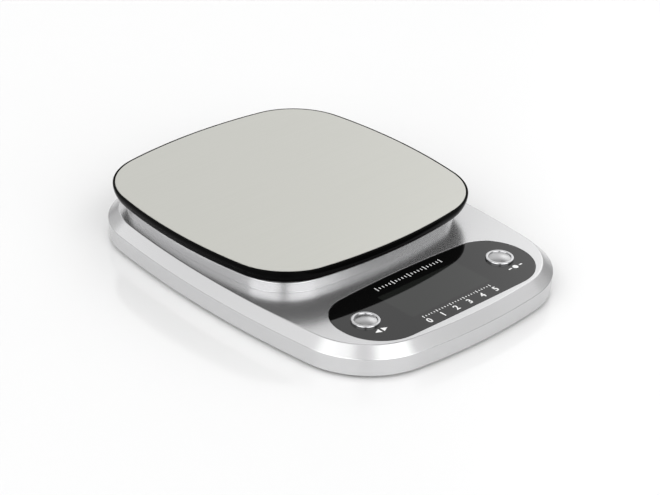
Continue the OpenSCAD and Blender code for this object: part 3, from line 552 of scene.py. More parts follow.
# A crown too small to see keeps the points of each long edge off one line.
steps = [-BEAM_HALF] + [STEP_LONG * i for i in range(-5, 6)] + [BEAM_HALF]
steps = [(x, CROWN * (1 - (x / BEAM_HALF) ** 2)) for x in steps]
side = [(x, Z_BEAM - bow, bow) for x, bow in steps]
side += [(x, Z_BEAM_TOP + bow, bow) for x, bow in reversed(steps)]
z_middle = (Z_BEAM + Z_BEAM_TOP) / 2
half_turn = pi - asin(BEND_SLOT / 2 / BEND_HOLE_R)
turns = [half_turn * (2 * i / BEND_STEPS - 1) for i in range(BEND_STEPS + 1)]
joined = [
    (sx * (BEND_HOLE_X + BEND_HOLE_R * cos(a)), z_middle + sx * BEND_HOLE_R * sin(a), 0)
    for sx in (1, -1) for a in turns
]
walls = []
for way in (-1, 1):
    walls.append([
        beam.loop((x, PLATFORM_Y + way * (BEAM_WIDE / 2 + bow), z) for x, z, bow in points)
        for points in (side, joined)
    ])
    beam.fill(*walls[-1])
(near, near_hole), (far, far_hole) = walls
beam.strip(near_hole, far_hole)
last = len(steps)
for sx in (-1, 1):
    bores = [
        beam.wall(circle(sx * x, PLATFORM_Y, BEAM_SCREW_HOLE, 32), Z_BEAM, Z_BEAM_TOP)
        for x in BEAM_SCREWS
    ]
    for face, rims in enumerate(zip(*bores)):
        a = face * last + (0 if (sx < 0) == (face == 0) else last - 2)
        beam.fill([near[a], near[a + 1], far[a + 1], far[a]], *rims)
for start in (0, last):
    for k in range(start + 1, start + last - 2):
        beam.faces.append((near[k], near[k + 1], far[k + 1], far[k]))
for i in (0, last - 1):
    beam.faces.append((near[i], near[-1 - i], far[-1 - i], far[i]))
bending_beam = beam.piece("bending_beam", milled)
coats = Skin()
for sx in (-1, 1):
    for z, out in ((Z_BEAM, -1), (Z_BEAM_TOP, 1)):
        rings = []
        for draw, tall in ((0, -0.02), (0, 0.1), (0.12, 0.22), (0.4, 0.3), (1.0, GAUGE_THICK)):
            size = GAUGE_LONG - 2 * draw, GAUGE_WIDE - 2 * draw, GAUGE_CORNER - draw
            rings.append(coats.ring(rectangle(sx * GAUGE_X, PLATFORM_Y, *size), z + out * tall))
        coats.close(*rings)
gauge_coats = coats.piece("gauge_coats", silicone, 60)
for piece, node, kind in (
    (bending_beam, "load_cell", "beam_aluminium"),
    (gauge_coats, "strain_gauges", "gauge_coat"),
):
    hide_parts(node)
    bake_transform(piece)


def screw(name, head_d, head_tall, shank_d, shank, pitch, arm):
    """A pan-head screw, head down at the origin, with a cross recess and a ridged shank."""
    body = Skin()
    lip = head_d / 2
    face = lip - 0.3 * head_tall
    outer = body.ring(circle(0, 0, 2 * face, 48), 0)
    slot = 0.28 * arm
    cross = [(arm, -slot), (arm, slot), (slot, slot), (slot, arm), (-slot, arm), (-slot, slot)]
    cross = [Vector(p) for p in cross + [(-x, -y) for x, y in cross]]
    rim, floor = body.ring(cross, 0), body.ring([0.8 * p for p in cross], 0.55 * head_tall)
    body.fill(outer, rim)
    body.strip(rim, floor)
    body.fill(floor)
    side = [(lip - 0.08 * head_tall, 0.14 * head_tall), (lip, 0.42 * head_tall), (lip, head_tall)]
    core = shank_d / 2 - 0.28 * pitch
    side.append((core, head_tall))
    turns = int((shank - 1.5 * pitch) / pitch)
    for k in range(turns):
        z = head_tall + pitch * (k + 0.6)
        side += [(core, z), (shank_d / 2, z + 0.35 * pitch), (core, z + 0.7 * pitch)]
    side.append((0.25 * core, head_tall + shank))
    rows = [body.ring(circle(0, 0, 2 * radius, 48), z) for radius, z in side]
    body.strip(outer, *rows)
    body.fill(rows[-1])
    return template(body, name, zinc)


def copies(name, shape, places, finish, sharp=35, flip=False):
    """A shape at several places, in one piece. If it is flipped, its foot is up."""
    rule = Rule(name)
    turn = rule.size("Turn", (pi if flip else 0, 0, 0), "Rotation")
    spots, one = rule.spots("Places", places), rule.shape("One", shape)
    return rule.piece(rule.repeat(spots, one, Rotation=turn), finish, sharp)


def screws(name, shape, places, node, body, flip=False):
    """Like screws in one piece. Those that are flipped have their heads up."""
    group = copies(name, shape, places, zinc, 30, flip)
    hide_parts(node)
    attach(group, body)


beam_screw = screw(
    "beam_screw", head_d=7.4, head_tall=2.4, shank_d=4.0, shank=10.4, pitch=0.7, arm=1.9
)
places = [(-x, PLATFORM_Y, 2.2) for x in BEAM_SCREWS]
screws("beam_screws_below", beam_screw, places, "load_cell_screws", "base")


# Battery box: two cells side by side, head to tail, between nickel-plated contacts that
# slide into slots of the bottom cover. Two insulated leads run from the contacts.
BOX_END, CELL_Z, CELL_Y = 25.6, 8.95, (69.45, 80.55)
CELL_R, CELL_BODY, CELL_NUB = 5.25, 43.6, 0.9
CELL_FROM, WRAP_END, LABEL_END, BAND_END = 20.5, -20.3, 15.5, 23.2
SHEET, SHEET_TALL, SHEET_WIDE = 0.4, 9.0, 9.0
TAB_WIDE, TAB_OUT = 3.0, 4.2
SPRING_WIRE, SPRING_TURNS, SPRING_LONG, SPRING_WIDE, SPRING_TIP = 0.6, 3.0, 4.15, 3.6, 2.2
LEAD = 1.4

for number, (way, y) in enumerate(zip((1, -1), CELL_Y), 1):
    wrap = Finish(f"cell_wrap_{number}", (0.05, 0.10, 0.16))
    ends = wrap.along(wrap.place((way, 1, 1)), "X")
    steel_end = (ends > BAND_END * MM) + (ends < WRAP_END * MM)
    band = (ends > LABEL_END * MM) * (ends < BAND_END * MM)
    printing = wrap.mix(band, wrap.colour, (0.42, 0.44, 0.45))
    wrap.set("Base Color", wrap.mix(steel_end, printing, (0.62, 0.61, 0.58)))
    wrap.set("Metallic", 0.35 + 0.6 * steel_end)
    wrap.set("Roughness", 0.2 + 0.1 * wrap.noise(500))
    cell = Skin()
    cell.turned(soften([
        (0, 0, 0), (3.9, 0, 0.15), (4.1, 0.25, 0.1), (4.7, 0.25, 0), (4.75, 0.05, 0),
        (CELL_R, 0.05, 0.45), (CELL_R, CELL_BODY, 0.5), (4.3, CELL_BODY, 0.1),
        (4.1, CELL_BODY - 0.25, 0.1), (1.95, CELL_BODY - 0.25, 0.1),
        (1.9, CELL_BODY + CELL_NUB, 0.3), (0, CELL_BODY + CELL_NUB, 0),
    ], guard=0.02), laid_along(-way * CELL_FROM, y, CELL_Z, way))
    battery = cell.piece(f"cell_{number}", wrap)
    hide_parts(f"battery_{number}")
    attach(battery, "base")

nickel = Finish("nickel_plating", (0.66, 0.63, 0.57), Metallic=1.0)
stain = nickel.noise(900, detail=4)
nickel.set("Roughness", 0.2 + 0.2 * stain)
nickel.shade(stain, (0.60, 0.57, 0.50))


def contact(name, end, sheet_y, width, bump_y=None, tab=True):
    """A stamped contact against the box's end wall: a sheet, its solder tab and its bump."""
    part = Skin()
    plan, face = rectangle(sheet_y, CELL_Z, width, SHEET_TALL, 1.0), end * (BOX_END - SHEET)
    part.close(*(part.loop((x, p.x, p.y) for p in plan) for x in (end * BOX_END, face)))
    if tab:
        plan = rectangle(end * (BOX_END + TAB_OUT / 2), sheet_y, TAB_OUT, TAB_WIDE, 0.6)
        part.prism(plan, CELL_Z - SHEET / 2, CELL_Z + SHEET / 2)
    if bump_y is not None:
        part.turned(
            [(0, 0.005), (2.5, 0.005), (2.35, 0.35), (1.4, 1.05), (1.2, 1.14), (0, 1.14)],
            laid_along(face, bump_y, CELL_Z, -end), 32
        )
    made = part.piece(name + "_plate", nickel)
    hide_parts(name)
    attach(made, "base")


contact("contact_negative", -1, CELL_Y[0], SHEET_WIDE)
contact("contact_positive", -1, CELL_Y[1], SHEET_WIDE, bump_y=CELL_Y[1])
contact("contact_bridge", 1, 75, SHEET_WIDE + 11.1, bump_y=CELL_Y[0], tab=False)

for name, end, y in (("negative", -1, CELL_Y[0]), ("bridge", 1, CELL_Y[1])):
    coil = Rule(f"contact_spring_{name}")
    spiral = coil.node("GeometryNodeCurveSpiral", None, {
        "Resolution": 40,
        "Rotations": coil.size("Turns", SPRING_TURNS),
        "Start Radius": coil.size("Radius at the sheet", SPRING_WIDE * MM),
        "End Radius": coil.size("Radius at the cell", SPRING_TIP * MM),
        "Height": coil.size("Length", SPRING_LONG * MM),
    })
    seat = Vector((end * (BOX_END - SHEET - SPRING_WIRE / 2), y, CELL_Z)) * MM
    wound = coil.tube(spiral, SPRING_WIRE, 10)
    laid = coil.move(wound, Translation=seat, Rotation=(0, -end * pi / 2, 0))
    spring = coil.piece(laid, nickel, 60)
    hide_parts(f"contact_{name}")
    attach(spring, "base")

red = Finish("red_insulation", (0.42, 0.02, 0.02), Roughness=0.4)
red.shade(red.noise(300), (0.36, 0.015, 0.015))
red.bump(red.noise(2500), 0.00001)
for k, y in enumerate(CELL_Y):
    beside, pad = -3 * k, -32.2 - 8 * k
    run_wire(f"battery_lead_{k + 1}", [
        (-29.8, y, CELL_Z), (-31.8, y, CELL_Z), (-35.8, y - 3, CELL_Z + 0.3),
        (beside - 42, 58, CELL_Z + 0.5), (beside - 43, 42, CELL_Z), (beside - 43.5, 20, CELL_Z),
        (beside - 43.5, 0, 8.5), (beside - 42, -25, 8.5), (-36 - 5 * k, -44.4, 9),
        (pad, -60.4, 10), (pad, -63.4, 9.4), (pad, -64.4, 8.2), (pad, -64.4, 7),
    ], LEAD, red, "battery_leads")


# Battery door: the same grained plastic, hung on two stub pins at its front edge and
# held by a springy tongue at its back. Raised ribs give the thumb a hold.
DOOR_X, DOOR_BACK, DOOR_EDGE, Z_DOOR, Z_DOOR_TOP = 27.0, 87.5, 0.25, 2.0, 3.5
PIN_Y, PIN_Z, BEAD_R, PIN_R, PIN_OUT = 63.7, 3.2, 1.2, 0.8, 28.6
RIBS, RIB_APART, RIB_HALF, RIB_R = 7, 1.6, 9.0, 0.4


def both_ends(half):
    """A profile that is the same at both ends, from its half below height 0."""
    return half + [(radius, -z) for radius, z in reversed(half)]


door = Skin()
slab = soften([
    (PIN_Y + 0.05, Z_DOOR, 0), (DOOR_BACK, Z_DOOR, 0.3),
    (DOOR_BACK, Z_DOOR_TOP, 0.3), (PIN_Y + 0.05, Z_DOOR_TOP, 0),
], guard=0.05)
slab += [Vector((PIN_Y, PIN_Z)) + BEAD_R * Vector((-sin(a), cos(a))) for a in (
    pi * i / 16 for i in range(17)
)]
middle = Vector((75.0, 2.9))
door.close(*(
    door.loop((x, *(p + (middle - p).normalized() * draw)) for p in slab)
    for draw, x in both_ends([(DOOR_EDGE, -DOOR_X), (0, DOOR_EDGE - DOOR_X)])
))
pin = [(0, -PIN_OUT), (PIN_R - 0.15, -PIN_OUT), (PIN_R, 0.15 - PIN_OUT)]
door.turned(both_ends(pin), laid_along(0, PIN_Y, PIN_Z), 32)
door.prism(rectangle(0, 86.85, 10, 1, 0.3), Z_DOOR_TOP - 0.1, 6.1)
battery_flap = door.piece("battery_flap", grained)
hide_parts("battery_door")
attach(battery_flap, "battery_door")

rib = Skin()
half = [(0, -RIB_HALF), (RIB_R - 0.1, 0.1 - RIB_HALF), (RIB_R, 0.4 - RIB_HALF)]
rib.turned(both_ends(half), laid_along(0, 0, 0), 16)
grip = Rule("door_grip_ribs")
row = grip.node("GeometryNodeMeshLine", None, {
    "Count": grip.size("Ribs", RIBS, "Int"),
    "Start Location": (0, 76.5 * MM, (Z_DOOR + 0.05) * MM),
    "Offset": grip.size("Apart", (0, RIB_APART * MM, 0), "Vector"),
})
one_rib = grip.shape("Rib", template(rib, "rib", grained))
grip_ribs = grip.piece(grip.repeat(row, one_rib), grained, 50)
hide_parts("battery_door")
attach(grip_ribs, "battery_door")


# Circuit board: green board with its display glass, white holder, rubber contact strip,
# two push switches and small parts, held up to the shell by four short screws.
BOARD_HOLES = [(sx * 52, -81 + sy * 15) for sx in (-1, 1) for sy in (-1, 1)]
mask = Finish("green_board", (0.012, 0.11, 0.04), Roughness=0.35)
tracks = mask.cells(260, mask.place((1, 1, 0))) < 0.33
mask.shade(tracks, (0.02, 0.16, 0.06))
mask.bump(tracks, 0.00002)
dress(mask, "main_pcb")

parts = Finish("tinned_parts", (0.46, 0.38, 0.26), Metallic=0.4, Roughness=0.4)
parts.shade(parts.cells(500) > 0.5, (0.55, 0.55, 0.52))
dress(parts, "pcb_components")

resin = Finish("black_resin", (0.015, 0.015, 0.016))
resin.bump(resin.noise(250), 0.0001)
resin.set("Roughness", 0.25 + 0.15 * resin.noise(800))
dress(resin, "controller_blob")

switch = Finish("switch_plastic", (0.03, 0.03, 0.032))
switch.set("Roughness", 0.4 + 0.2 * switch.noise(1500))
switch.shade(switch.noise(200), (0.04, 0.04, 0.04))
for name in ("unit", "power"):
    dress(switch, name + "_switch_body", name + "_switch_plunger")

glass = Finish("display_glass", (0.13, 0.16, 0.13), Roughness=0.08)
glass.shade(glass.noise(80), (0.11, 0.14, 0.115))
dress(glass, "lcd_front_glass", "lcd_rear_glass")

holder = Finish("white_holder", (0.80, 0.80, 0.78), Roughness=0.45)
holder.shade(holder.noise(120), (0.74, 0.74, 0.72))
dress(holder, "lcd_holder")

layers = Finish("layered_rubber", (0.62, 0.38, 0.36), Roughness=0.6)
layers.shade(layers.noise(1.0, where=layers.place((9000, 1, 1))) > 0.5, (0.06, 0.06, 0.06))
dress(layers, "zebra_strip")

pcb_screw = screw(
    "pcb_screw", head_d=4.0, head_tall=1.1, shank_d=2.2, shank=5.0, pitch=0.7, arm=1.2
)
screws("board_screws", pcb_screw, [(x, y, 4.3) for x, y in BOARD_HOLES], "pcb_screws", "base")


# Silver shell: one moulding in glossy silver paint, with an upright band, a flat bevel,
# a deck, and the pedestal that the platform stands over. Its walls are 2 mm thick, and
# bosses and ribs stand inside it.
SIDE_STEPS, CORNER_STEPS = 8, 28
Z_BASE, Z_BAND, Z_DECK, Z_CEILING = 2.0, 11.6, 16.8, 14.6
Z_PEDESTAL, Z_ROOF = 22.6, 20.6
Z_SEAT, Z_UNDER_SEAT = 15.15, 13.15
DECK_INSET, BAND_LEAN = 5.8, 0.5
SHELL_WALL, ROOF_WALL, PAD_OUT = 2.0, 2.2, 1.6
BASE = dict(
    half=86.5, back=116, front=116, side_r=600, back_r=328, front_r=328,
    back_corner=45, front_corner=45
)
PEDESTAL = dict(
    half=74.7, back=74.7, front=74.7, side_r=272.2, back_r=272.2, front_r=272.2,
    back_corner=30.7, front_corner=30.7
)
PANEL = dict(
    half=64.5, back=25, front=25, side_r=60, back_r=600, front_r=3000,
    back_corner=22, front_corner=24.5
)
PANEL_Y, PANEL_GAP = -80.4, 0.25
BUTTON_X, SKIRT_HOLE = 48.8, 13.9
WINDOW, ROOF_HOLE = (50, 17), (25.5, PLATFORM_Y, 29.2, 17.9, 2)
BOSSES = [(sx * x, y) for sx in (-1, 1) for x, y in ((35, -105), (73, -20), (50, 100))]
ROOF_RIB, ROOF_RIB_DEEP, ROOF_RIB_AT = 1.4, 2.0, 47.7


def quarter(half, end, side_r, end_r, corner_r):
    """A quarter of an outline: a bulged side, a round corner and a bulged end, all tangent."""
    side = Vector((half - side_r, 0))
    tip = Vector((0, end - end_r))
    near, far = side_r - corner_r, end_r - corner_r
    span = (tip - side).length
    along = (near * near - far * far + span * span) / (2 * span)
    off = sqrt(near * near - along * along)
    unit = (tip - side) / span
    corner = side + along * unit + off * Vector((-unit.y, unit.x))
    from_side = atan2(corner.y, corner.x - side.x)
    to_end = atan2(corner.y - tip.y, corner.x)
    return (
        arc(side, side_r, 0, from_side, SIDE_STEPS)
        + arc(corner, corner_r, from_side, to_end, CORNER_STEPS)
        + arc(tip, end_r, to_end, pi / 2, SIDE_STEPS)
    )


def outline(form, inset=0.0):
    """A closed outline, anticlockwise from +X, drawn in by inset."""
    f = {name: size - inset for name, size in form.items()}
    rear, fore = (
        quarter(f["half"], f[end], f["side_r"], f[end + "_r"], f[end + "_corner"])
        for end in ("back", "front")
    )
    back_tip, front_tip = Vector((0, f["back"])), Vector((0, f["front"]))
    return (
        rear
        + [Vector((-p.x, p.y)) for p in [back_tip] + rear[:0:-1]]
        + [Vector((-p.x, -p.y)) for p in fore]
        + [Vector((p.x, -p.y)) for p in [front_tip] + fore[:0:-1]]
    )


def climb(skin, form, profile, y=0.0):
    """An outline's first and last ring along a profile of (inset, z) points, faces between."""
    rings = [skin.ring(outline(form, inset), z, y) for inset, z in profile]
    skin.strip(*rings)
    return rings[0], rings[-1]


silver = Finish("silver_paint", (0.61, 0.61, 0.615), Metallic=0.82)
flake = silver.noise(5000, detail=1)
flow = silver.noise(1.0, detail=3, where=silver.place((8, 8, 900)))
silver.shade(flake, (0.60, 0.60, 0.605))
silver.set("Roughness", 0.20 + 0.05 * flow)

shell = Skin()
bottom_ring, deck_edge = climb(shell, BASE, soften([
    (BAND_LEAN + 0.8, Z_BASE, 0),
    (BAND_LEAN, Z_BASE, 0.3),
    (0, Z_BAND, 0.5),
    (DECK_INSET, Z_DECK, 1.3),
    (DECK_INSET + 1.2, Z_DECK, 0),
]))
foot_ring, roof_edge = climb(shell, PEDESTAL, soften([
    (-1.0, Z_DECK, 0),
    (0, Z_DECK, 0.25),
    (0.2, Z_PEDESTAL, 0.7),
    (1.4, Z_PEDESTAL, 0),
]), PLATFORM_Y)
lip_ring, recess_foot = climb(shell, PANEL, [
    (-0.32, Z_DECK), (-0.27, Z_DECK - 0.06), (-PANEL_GAP, Z_DECK - 0.15), (-PANEL_GAP, Z_SEAT)
], PANEL_Y)
shell.fill(deck_edge, foot_ring, lip_ring)
opening_top, opening_under = shell.wall(rectangle(*ROOF_HOLE), Z_PEDESTAL, Z_ROOF)
shell.fill(roof_edge, opening_top)
cavity_top, cavity_foot = climb(shell, PEDESTAL, [
    (SHELL_WALL, Z_ROOF), (SHELL_WALL, Z_CEILING)
], PLATFORM_Y)
shell.fill(cavity_top, opening_under)
button_holes = [circle(sx * BUTTON_X, PANEL_Y, SKIRT_HOLE) for sx in (-1, 1)]
holes = [rectangle(0, PANEL_Y, *WINDOW)] + button_holes
seat_holes, under_holes = zip(*(shell.wall(hole, Z_SEAT, Z_UNDER_SEAT) for hole in holes))
shell.fill(recess_foot, *seat_holes)
pad_foot, pad_top = climb(
    shell, PANEL, [(-PAD_OUT, Z_UNDER_SEAT), (-PAD_OUT, Z_CEILING)], PANEL_Y
)
shell.fill(pad_foot, *under_holes)
bevel_tall = Z_DECK - Z_BAND
bevel_slope = hypot(DECK_INSET, bevel_tall)
inner_rim, ceiling_edge = climb(shell, BASE, [
    (BAND_LEAN + SHELL_WALL, Z_BASE),
    (SHELL_WALL, Z_BAND - SHELL_WALL * (bevel_slope - bevel_tall) / DECK_INSET),
    (DECK_INSET + (SHELL_WALL * bevel_slope - ROOF_WALL * DECK_INSET) / bevel_tall, Z_CEILING),
])
shell.fill(ceiling_edge, cavity_foot, pad_top)
shell.strip(bottom_ring, inner_rim)
upper_shell = shell.piece("upper_shell", silver)
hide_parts("upper_housing")
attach(upper_shell, "base")


def bosses(name, places, outer, bore, tall, deep):
    """Like bosses under the shell, each a tapered tube with a rounded root and a blind bore."""
    root, end = outer + 1.6, tall + 0.6
    tube = Skin()
    tube.turned(soften([
        (bore, 0, 0), (outer, 0, 0.2), (outer + 0.1, tall, 0.8), (root, tall, 0), (root, end, 0),
        (0, end, 0), (0, deep, 0), (bore, deep, 0),
    ], guard=0.02), steps=32)
    group = copies(name, template(tube, "boss", silver), places, silver)
    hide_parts("upper_housing")
    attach(group, "base")


places = [(x, y, 6.4) for x, y in BOSSES]
bosses("shell_bosses", places, outer=3.3, bore=1.5, tall=8.2, deep=8.05)
places = [(x, y, 7.0) for x, y in BOARD_HOLES]
bosses("board_bosses", places, outer=2.8, bore=1.15, tall=6.15, deep=3.45)


# Display panel: smoked acrylic, printed black behind except for the display's window,
# with a polished face and softened edges. It is glued on the step of its recess.
Z_PANEL = 16.65
SEEN_WINDOW = (56.4, 25.4)
smoke = Finish("smoked_acrylic", (0.003, 0.003, 0.003), IOR=1.43)
place = smoke.place(middle=Vector((0, PANEL_Y, 0)) * MM)
across, along = (
    abs(smoke.along(place, axis)) < size / 2 * MM for axis, size in zip("XY", SEEN_WINDOW)
)
smoke.shade(across * along, (0.010, 0.011, 0.010))
smoke.set("Roughness", 0.03 + 0.03 * smoke.noise(200))
panel = Skin()
panel_under, panel_edge = climb(panel, PANEL, [
    (0, Z_SEAT), (0, Z_PANEL - 0.25), (0.07, Z_PANEL - 0.08), (0.25, Z_PANEL), (0.4, Z_PANEL)
], PANEL_Y)
tops, unders = zip(*(panel.wall(hole, Z_PANEL, Z_SEAT) for hole in button_holes))
panel.fill(panel_edge, *tops)
panel.fill(panel_under, *unders)
smoked_panel = panel.piece("smoked_panel", smoke)
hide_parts("display_lens")
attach(smoked_panel, "base")


# Printed marks: thin white ink on the panel's face. A row of ticks runs along the back, a
# plain numbered scale along the front, and small plain shapes stand before the caps.
INK, INK_AT = 0.02, Z_PANEL - 0.01
TICK, DIGIT, DIGIT_BOLD, DIGIT_APART, DIGIT_Y = 0.55, 5.6, 0.11, 9.6, PANEL_Y - 22.2
TICK_ROWS = [
    # name, place along the scale, how many, how far apart, how long
    ("back", PANEL_Y + 18.6, 21, 2.3, 3.6),
    ("front", PANEL_Y - 16.0, 26, 1.92, 2.0),
]
MARK_Y = PANEL_Y - 11.3
ink = Finish("white_ink", (0.80, 0.80, 0.80))
ink.shade(ink.noise(900), (0.72, 0.72, 0.72))
ink.set("Roughness", 0.45 + 0.1 * ink.noise(400))


def printed(piece):
    """A printed mark, which stays with the panel under it."""
    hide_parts("display_lens")
    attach(piece, "base")


for name, y, count, apart, tall in TICK_ROWS:
    stroke = Skin()
    stroke.prism(rectangle(0, 0, TICK, tall, 0.12), INK_AT, INK_AT + INK)
    row = Rule(f"{name}_ticks")
    line = row.node("GeometryNodeMeshLine", None, {
        "Count": row.size("Ticks", count, "Int"),
        "Start Location": Vector((-apart * (count - 1) / 2, y, 0)) * MM,
        "Offset": row.size("Apart", (apart * MM, 0, 0), "Vector"),
    })
    every_fifth = row.node("GeometryNodeInputIndex") % 5 < 0.5
    stretch = every_fifth * 0.5 + row.size("Short", 0.5)
    scale = row.node("ShaderNodeCombineXYZ", None, {"X": 1.0, "Y": stretch, "Z": 1.0})
    one = row.shape("Stroke", template(stroke, "stroke", ink))
    printed(row.piece(row.repeat(line, one, Scale=scale), ink))

for digit in range(6):
    curve = bpy.data.curves.new(f"numeral_{digit}", "FONT")
    curve.body = str(digit)
    curve.size = DIGIT * MM
    curve.offset = DIGIT_BOLD * MM
    curve.align_x = "CENTER"
    curve.extrude = INK / 2 * MM
    curve.resolution_u = 4
    holder = bpy.data.objects.new(curve.name, curve)
    mesh = bpy.data.meshes.new_from_object(holder)
    spot = Vector((DIGIT_APART * (digit - 2.5), DIGIT_Y, INK_AT + INK / 2))
    mesh.transform(Matrix.Translation(spot * MM))
    bpy.data.objects.remove(holder)
    printed(finished(mesh, f"numeral_{digit}", ink))

for name, plans in (
    ("unit_mark", [
        [Vector((w * x - BUTTON_X, MARK_Y + y)) for x, y in ((0.7, -1.7), (4.1, 0), (0.7, 1.7))]
        for w in (1, -1)
    ]),
    ("power_mark", [
        circle(BUTTON_X, MARK_Y, 3.2, 32),
        rectangle(BUTTON_X - 3.9, MARK_Y, 2.2, 0.9, 0.2),
        rectangle(BUTTON_X + 3.9, MARK_Y, 2.2, 0.9, 0.2),
    ]),
):
    mark = Skin()
    for plan in plans:
        mark.prism(plan, INK_AT, INK_AT + INK)
    printed(mark.piece(name, ink))


# Chrome rings and caps: plated plastic. Each ring is pressed into the panel from above,
# and each domed cap slides in its ring on a switch below.
RING_BORE, RING_R, RING_TALL, SKIRT_R = 5.88, 7.6, 1.2, 6.7
CAP_R, CAP_RIM, CAP_CROWN, FLANGE_R, STEM_R = 5.8, 0.7, 1.1, 6.5, 1.8
Z_SKIRT, Z_FLANGE, Z_FLANGE_FOOT, Z_PLUNGER = 13.2, 13.0, 12.4, 12.0
chrome = Finish("bright_chrome", (0.56, 0.56, 0.57), Metallic=1.0)
chrome.set("Roughness", 0.07 + 0.07 * chrome.noise(300))
satin = Finish("satin_chrome", (0.50, 0.50, 0.505), Metallic=1.0)
satin.set("Roughness", 0.24 + 0.1 * satin.noise(400))

for name, sx in (("unit", -1), ("power", 1)):
    centre = Matrix.Translation((sx * BUTTON_X, PANEL_Y, 0))
    ring = Skin()
    ring.turned(soften([
        (RING_R, Z_PANEL, 0),
        (RING_R, Z_PANEL + RING_TALL, 0.55),
        (RING_BORE, Z_PANEL + RING_TALL, 0.5),
        (RING_BORE, Z_SKIRT, 0),
    ], steps=8, guard=0.03) + [(SKIRT_R, Z_SKIRT), (SKIRT_R, Z_PANEL)], centre, 96)
    chrome_ring = ring.piece(name + "_ring", chrome)
    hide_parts(name + "_bezel")
    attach(chrome_ring, "base")

    z_rim = Z_PANEL + CAP_RIM
    crown_r = (CAP_R ** 2 + CAP_CROWN ** 2) / (2 * CAP_CROWN)
    half_angle = asin(CAP_R / crown_r)
    dome = [
        (crown_r * sin(a), z_rim + CAP_CROWN - crown_r + crown_r * cos(a))
        for a in (half_angle * i / 16 for i in range(17))
    ]
    cap = Skin()
    cap.turned(dome + [
        (CAP_R, Z_FLANGE), (FLANGE_R, Z_FLANGE), (FLANGE_R, Z_FLANGE_FOOT),
        (STEM_R, Z_FLANGE_FOOT), (STEM_R, Z_PLUNGER), (0, Z_PLUNGER),
    ], centre, 96)
    domed_cap = cap.piece(name + "_cap", satin)
    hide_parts(name + "_button")
    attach(domed_cap, name + "_button")


# Housing screws: zinc-plated self-tapping screws, sunk into the bottom cover and driven
# up into the shell's bosses.
housing_screw = screw(
    "housing_screw", head_d=5.4, head_tall=2.0, shank_d=2.9, shank=8.0, pitch=1.1, arm=1.6
)
places = [(x, y, 4.4) for x, y in BOSSES]
screws("shell_screws", housing_screw, places, "housing_screws", "base")


# Tray: polished black plastic with a narrow rim round the plate and a side that curves
# in towards the pedestal. Ribs stiffen it, and a boss under it takes the load cell's free
# end with two machine screws.
Z_TOP, Z_TRAY, Z_TRAY_FLOOR, Z_TRAY_CEILING = 33.2, 23.3, 32.3, 30.3
PLATFORM = dict(
    half=82.5, back=82.5, front=82.5, side_r=280, back_r=280, front_r=280,
    back_corner=38.5, front_corner=38.5
)
RIM_WIDTH, RIM_DOWN = 1.2, 0.15
TRAY_LEAN, TRAY_HEIGHT, BROW, PULL_IN, PULL_DOWN = 7.2, 9.9, 1.6, 1.2, 6
BOSS, Z_BOSS = (25.5, PLATFORM_Y, 27.2, 15.9, 1.5), 20.7
Z_HEAD, HEAD_HOLE, SHANK_HOLE = 23.7, 7.9, 4.1
RIB_PITCH, RIB_THICK, ROOTED = 22, 1.4, 0.2
black = Finish("polished_black", (0.002, 0.002, 0.002), Specular_IOR_Level=0.015)
black.set("Roughness", 0.06 + 0.05 * black.noise(120))


def tray_side(share):
    """A point of the tray's side, from its brow (0) to its lower edge (1)."""
    pull, end = 2 * share * (1 - share), share * share
    drop = pull * PULL_DOWN + end * (TRAY_HEIGHT - BROW)
    return pull * PULL_IN + end * TRAY_LEAN, Z_TOP - BROW - drop


tray = Skin()
side_profile = [tray_side(i / 16) for i in range(16, -1, -1)]
rim_profile = soften([
    (0, Z_TOP - BROW, 0), (0, Z_TOP - RIM_DOWN, 0.35),
    (RIM_WIDTH, Z_TOP - RIM_DOWN, 0), (RIM_WIDTH, Z_TRAY_FLOOR, 0),
], guard=0.03)[1:]
tray_foot, tray_seat = climb(tray, PLATFORM, side_profile + rim_profile, PLATFORM_Y)
under_edge, under_top = climb(tray, PLATFORM, [
    (TRAY_LEAN + 2, Z_TRAY), (6.5, 24.7), (3.8, Z_TRAY_CEILING)
], PLATFORM_Y)
tray.strip(tray_foot, under_edge)
boss_top, boss_under = tray.wall(rectangle(*BOSS), Z_TRAY_CEILING, Z_BOSS)
tray.fill(under_top, boss_top)
wells, shanks = [], []
for x in BEAM_SCREWS:
    well, well_floor = tray.wall(circle(x, PLATFORM_Y, HEAD_HOLE, 48), Z_TRAY_FLOOR, Z_HEAD)
    shank_top, shank = tray.wall(circle(x, PLATFORM_Y, SHANK_HOLE, 48), Z_HEAD, Z_BOSS)
    tray.fill(well_floor, shank_top)
    wells.append(well)
    shanks.append(shank)
tray.fill(tray_seat, *wells)
tray.fill(boss_under, *shanks)
black_tray = tray.piece("black_tray", black)
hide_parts("platform_tray")
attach(black_tray, "platform")


def reach(form, inset, x):
    """How far an outline stands from the middle at x."""
    points = outline(form, inset)
    for p, q in zip(points, points[1:]):
        if q.x <= x <= p.x and p.y >= 0:
            return p.y + (q.y - p.y) * (p.x - x) / max(p.x - q.x, 1e-9)
    return 0.0


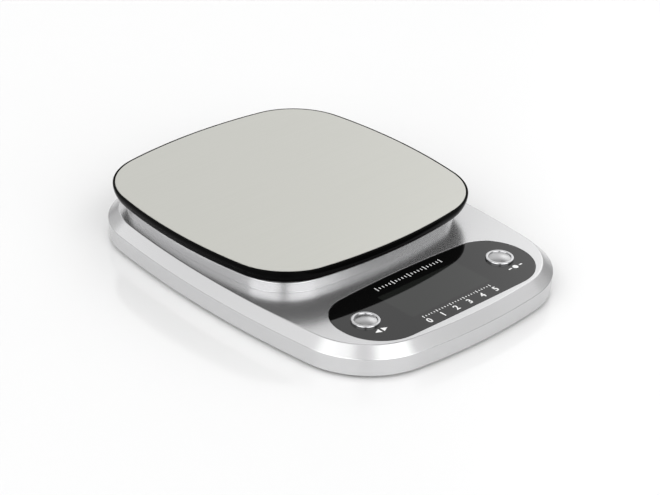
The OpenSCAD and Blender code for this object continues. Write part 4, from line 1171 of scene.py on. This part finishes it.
def crossed_ribs(name, offsets, form, inset, thick, z0, z1, finish, node, body):
    """Ribs that cross under a cover, each cut to the width of the cover where it stands."""
    block = Skin()
    block.prism(rectangle(0, 0, thick, 2), z0, z1)
    rule = Rule(name)
    where = rule.node("GeometryNodeInputPosition")
    near, far = (pick(abs(offset) for offset in offsets) for pick in (min, max))
    half = rule.node("ShaderNodeMapRange", None, {
        "Value": abs(rule.along(where, "X")), "From Min": near * MM, "From Max": far * MM + 1e-6,
        "To Min": rule.size("Reach near the middle", reach(form, inset, near)),
        "To Max": rule.size("Reach at the last rib", reach(form, inset, far)),
    })
    scale = rule.node("ShaderNodeCombineXYZ", None, {"X": 1.0, "Y": half, "Z": 1.0})
    spots = rule.spots("Places", [(offset, 0, 0) for offset in offsets])
    one = rule.shape("Rib", template(block, name + "_block", finish))
    ribs = rule.repeat(spots, one, Scale=scale)
    both = rule.tree.nodes.new("GeometryNodeJoinGeometry")
    rule.feed(both.inputs[0], ribs)
    rule.feed(both.inputs[0], rule.move(ribs, Rotation=(0, 0, pi / 2)))
    laid = rule.move(Value(rule, both.outputs[0]), Translation=(0, PLATFORM_Y * MM, 0))
    group = rule.piece(laid, finish)
    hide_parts(node)
    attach(group, body)


crossed_ribs(
    "tray_ribs", [i * RIB_PITCH for i in range(-3, 4)], PLATFORM, TRAY_LEAN + 1.5, RIB_THICK,
    Z_TRAY + ROOTED, Z_TRAY_CEILING + ROOTED, black, "platform_tray", "platform"
)
crossed_ribs(
    "roof_ribs", [-ROOF_RIB_AT, ROOF_RIB_AT], PEDESTAL, SHELL_WALL - 0.3, ROOF_RIB,
    Z_ROOF - ROOF_RIB_DEEP, Z_ROOF + ROOTED, silver, "upper_housing", "base"
)
places = [(x, PLATFORM_Y, 26.1) for x in BEAM_SCREWS]
screws("beam_screws_above", beam_screw, places, "platform_screws", "platform", flip=True)


# Tape: two strips of white double-sided foam tape, pressed on the tray's floor. They hold
# the plate down without any screw.
foam = Finish("foam_tape", (0.80, 0.80, 0.76), Roughness=0.8)
bubbles = foam.cells(1800)
foam.shade(bubbles, (0.70, 0.70, 0.66))
foam.bump(bubbles, 0.00005)
dress(foam, "platform_tape")


# Weighing plate: brushed stainless steel, stamped flat with a softened edge and taped
# into the tray.
PLATE_INSET, PLATE_THICK = 1.3, 0.6
steel = Finish("brushed_steel", (0.60, 0.60, 0.56), Metallic=1.0)
brushing = steel.noise(1.0, detail=4, where=steel.place((12, 2200, 1)))
steel.set("Roughness", 0.32 + 0.1 * brushing)
steel.shade(brushing, (0.57, 0.57, 0.53))
plate = Skin()
plate_under, plate_edge = climb(plate, PLATFORM, [
    (PLATE_INSET + draw, Z_TOP - down)
    for draw, down in ((0, PLATE_THICK), (0, 0.2), (0.05, 0.08), (0.17, 0.01), (0.3, 0), (0.6, 0))
], PLATFORM_Y)
plate.fill(plate_under)
plate.fill(plate_edge)
steel_plate = plate.piece("steel_plate", steel)
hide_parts("platform_plate")
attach(steel_plate, "platform")
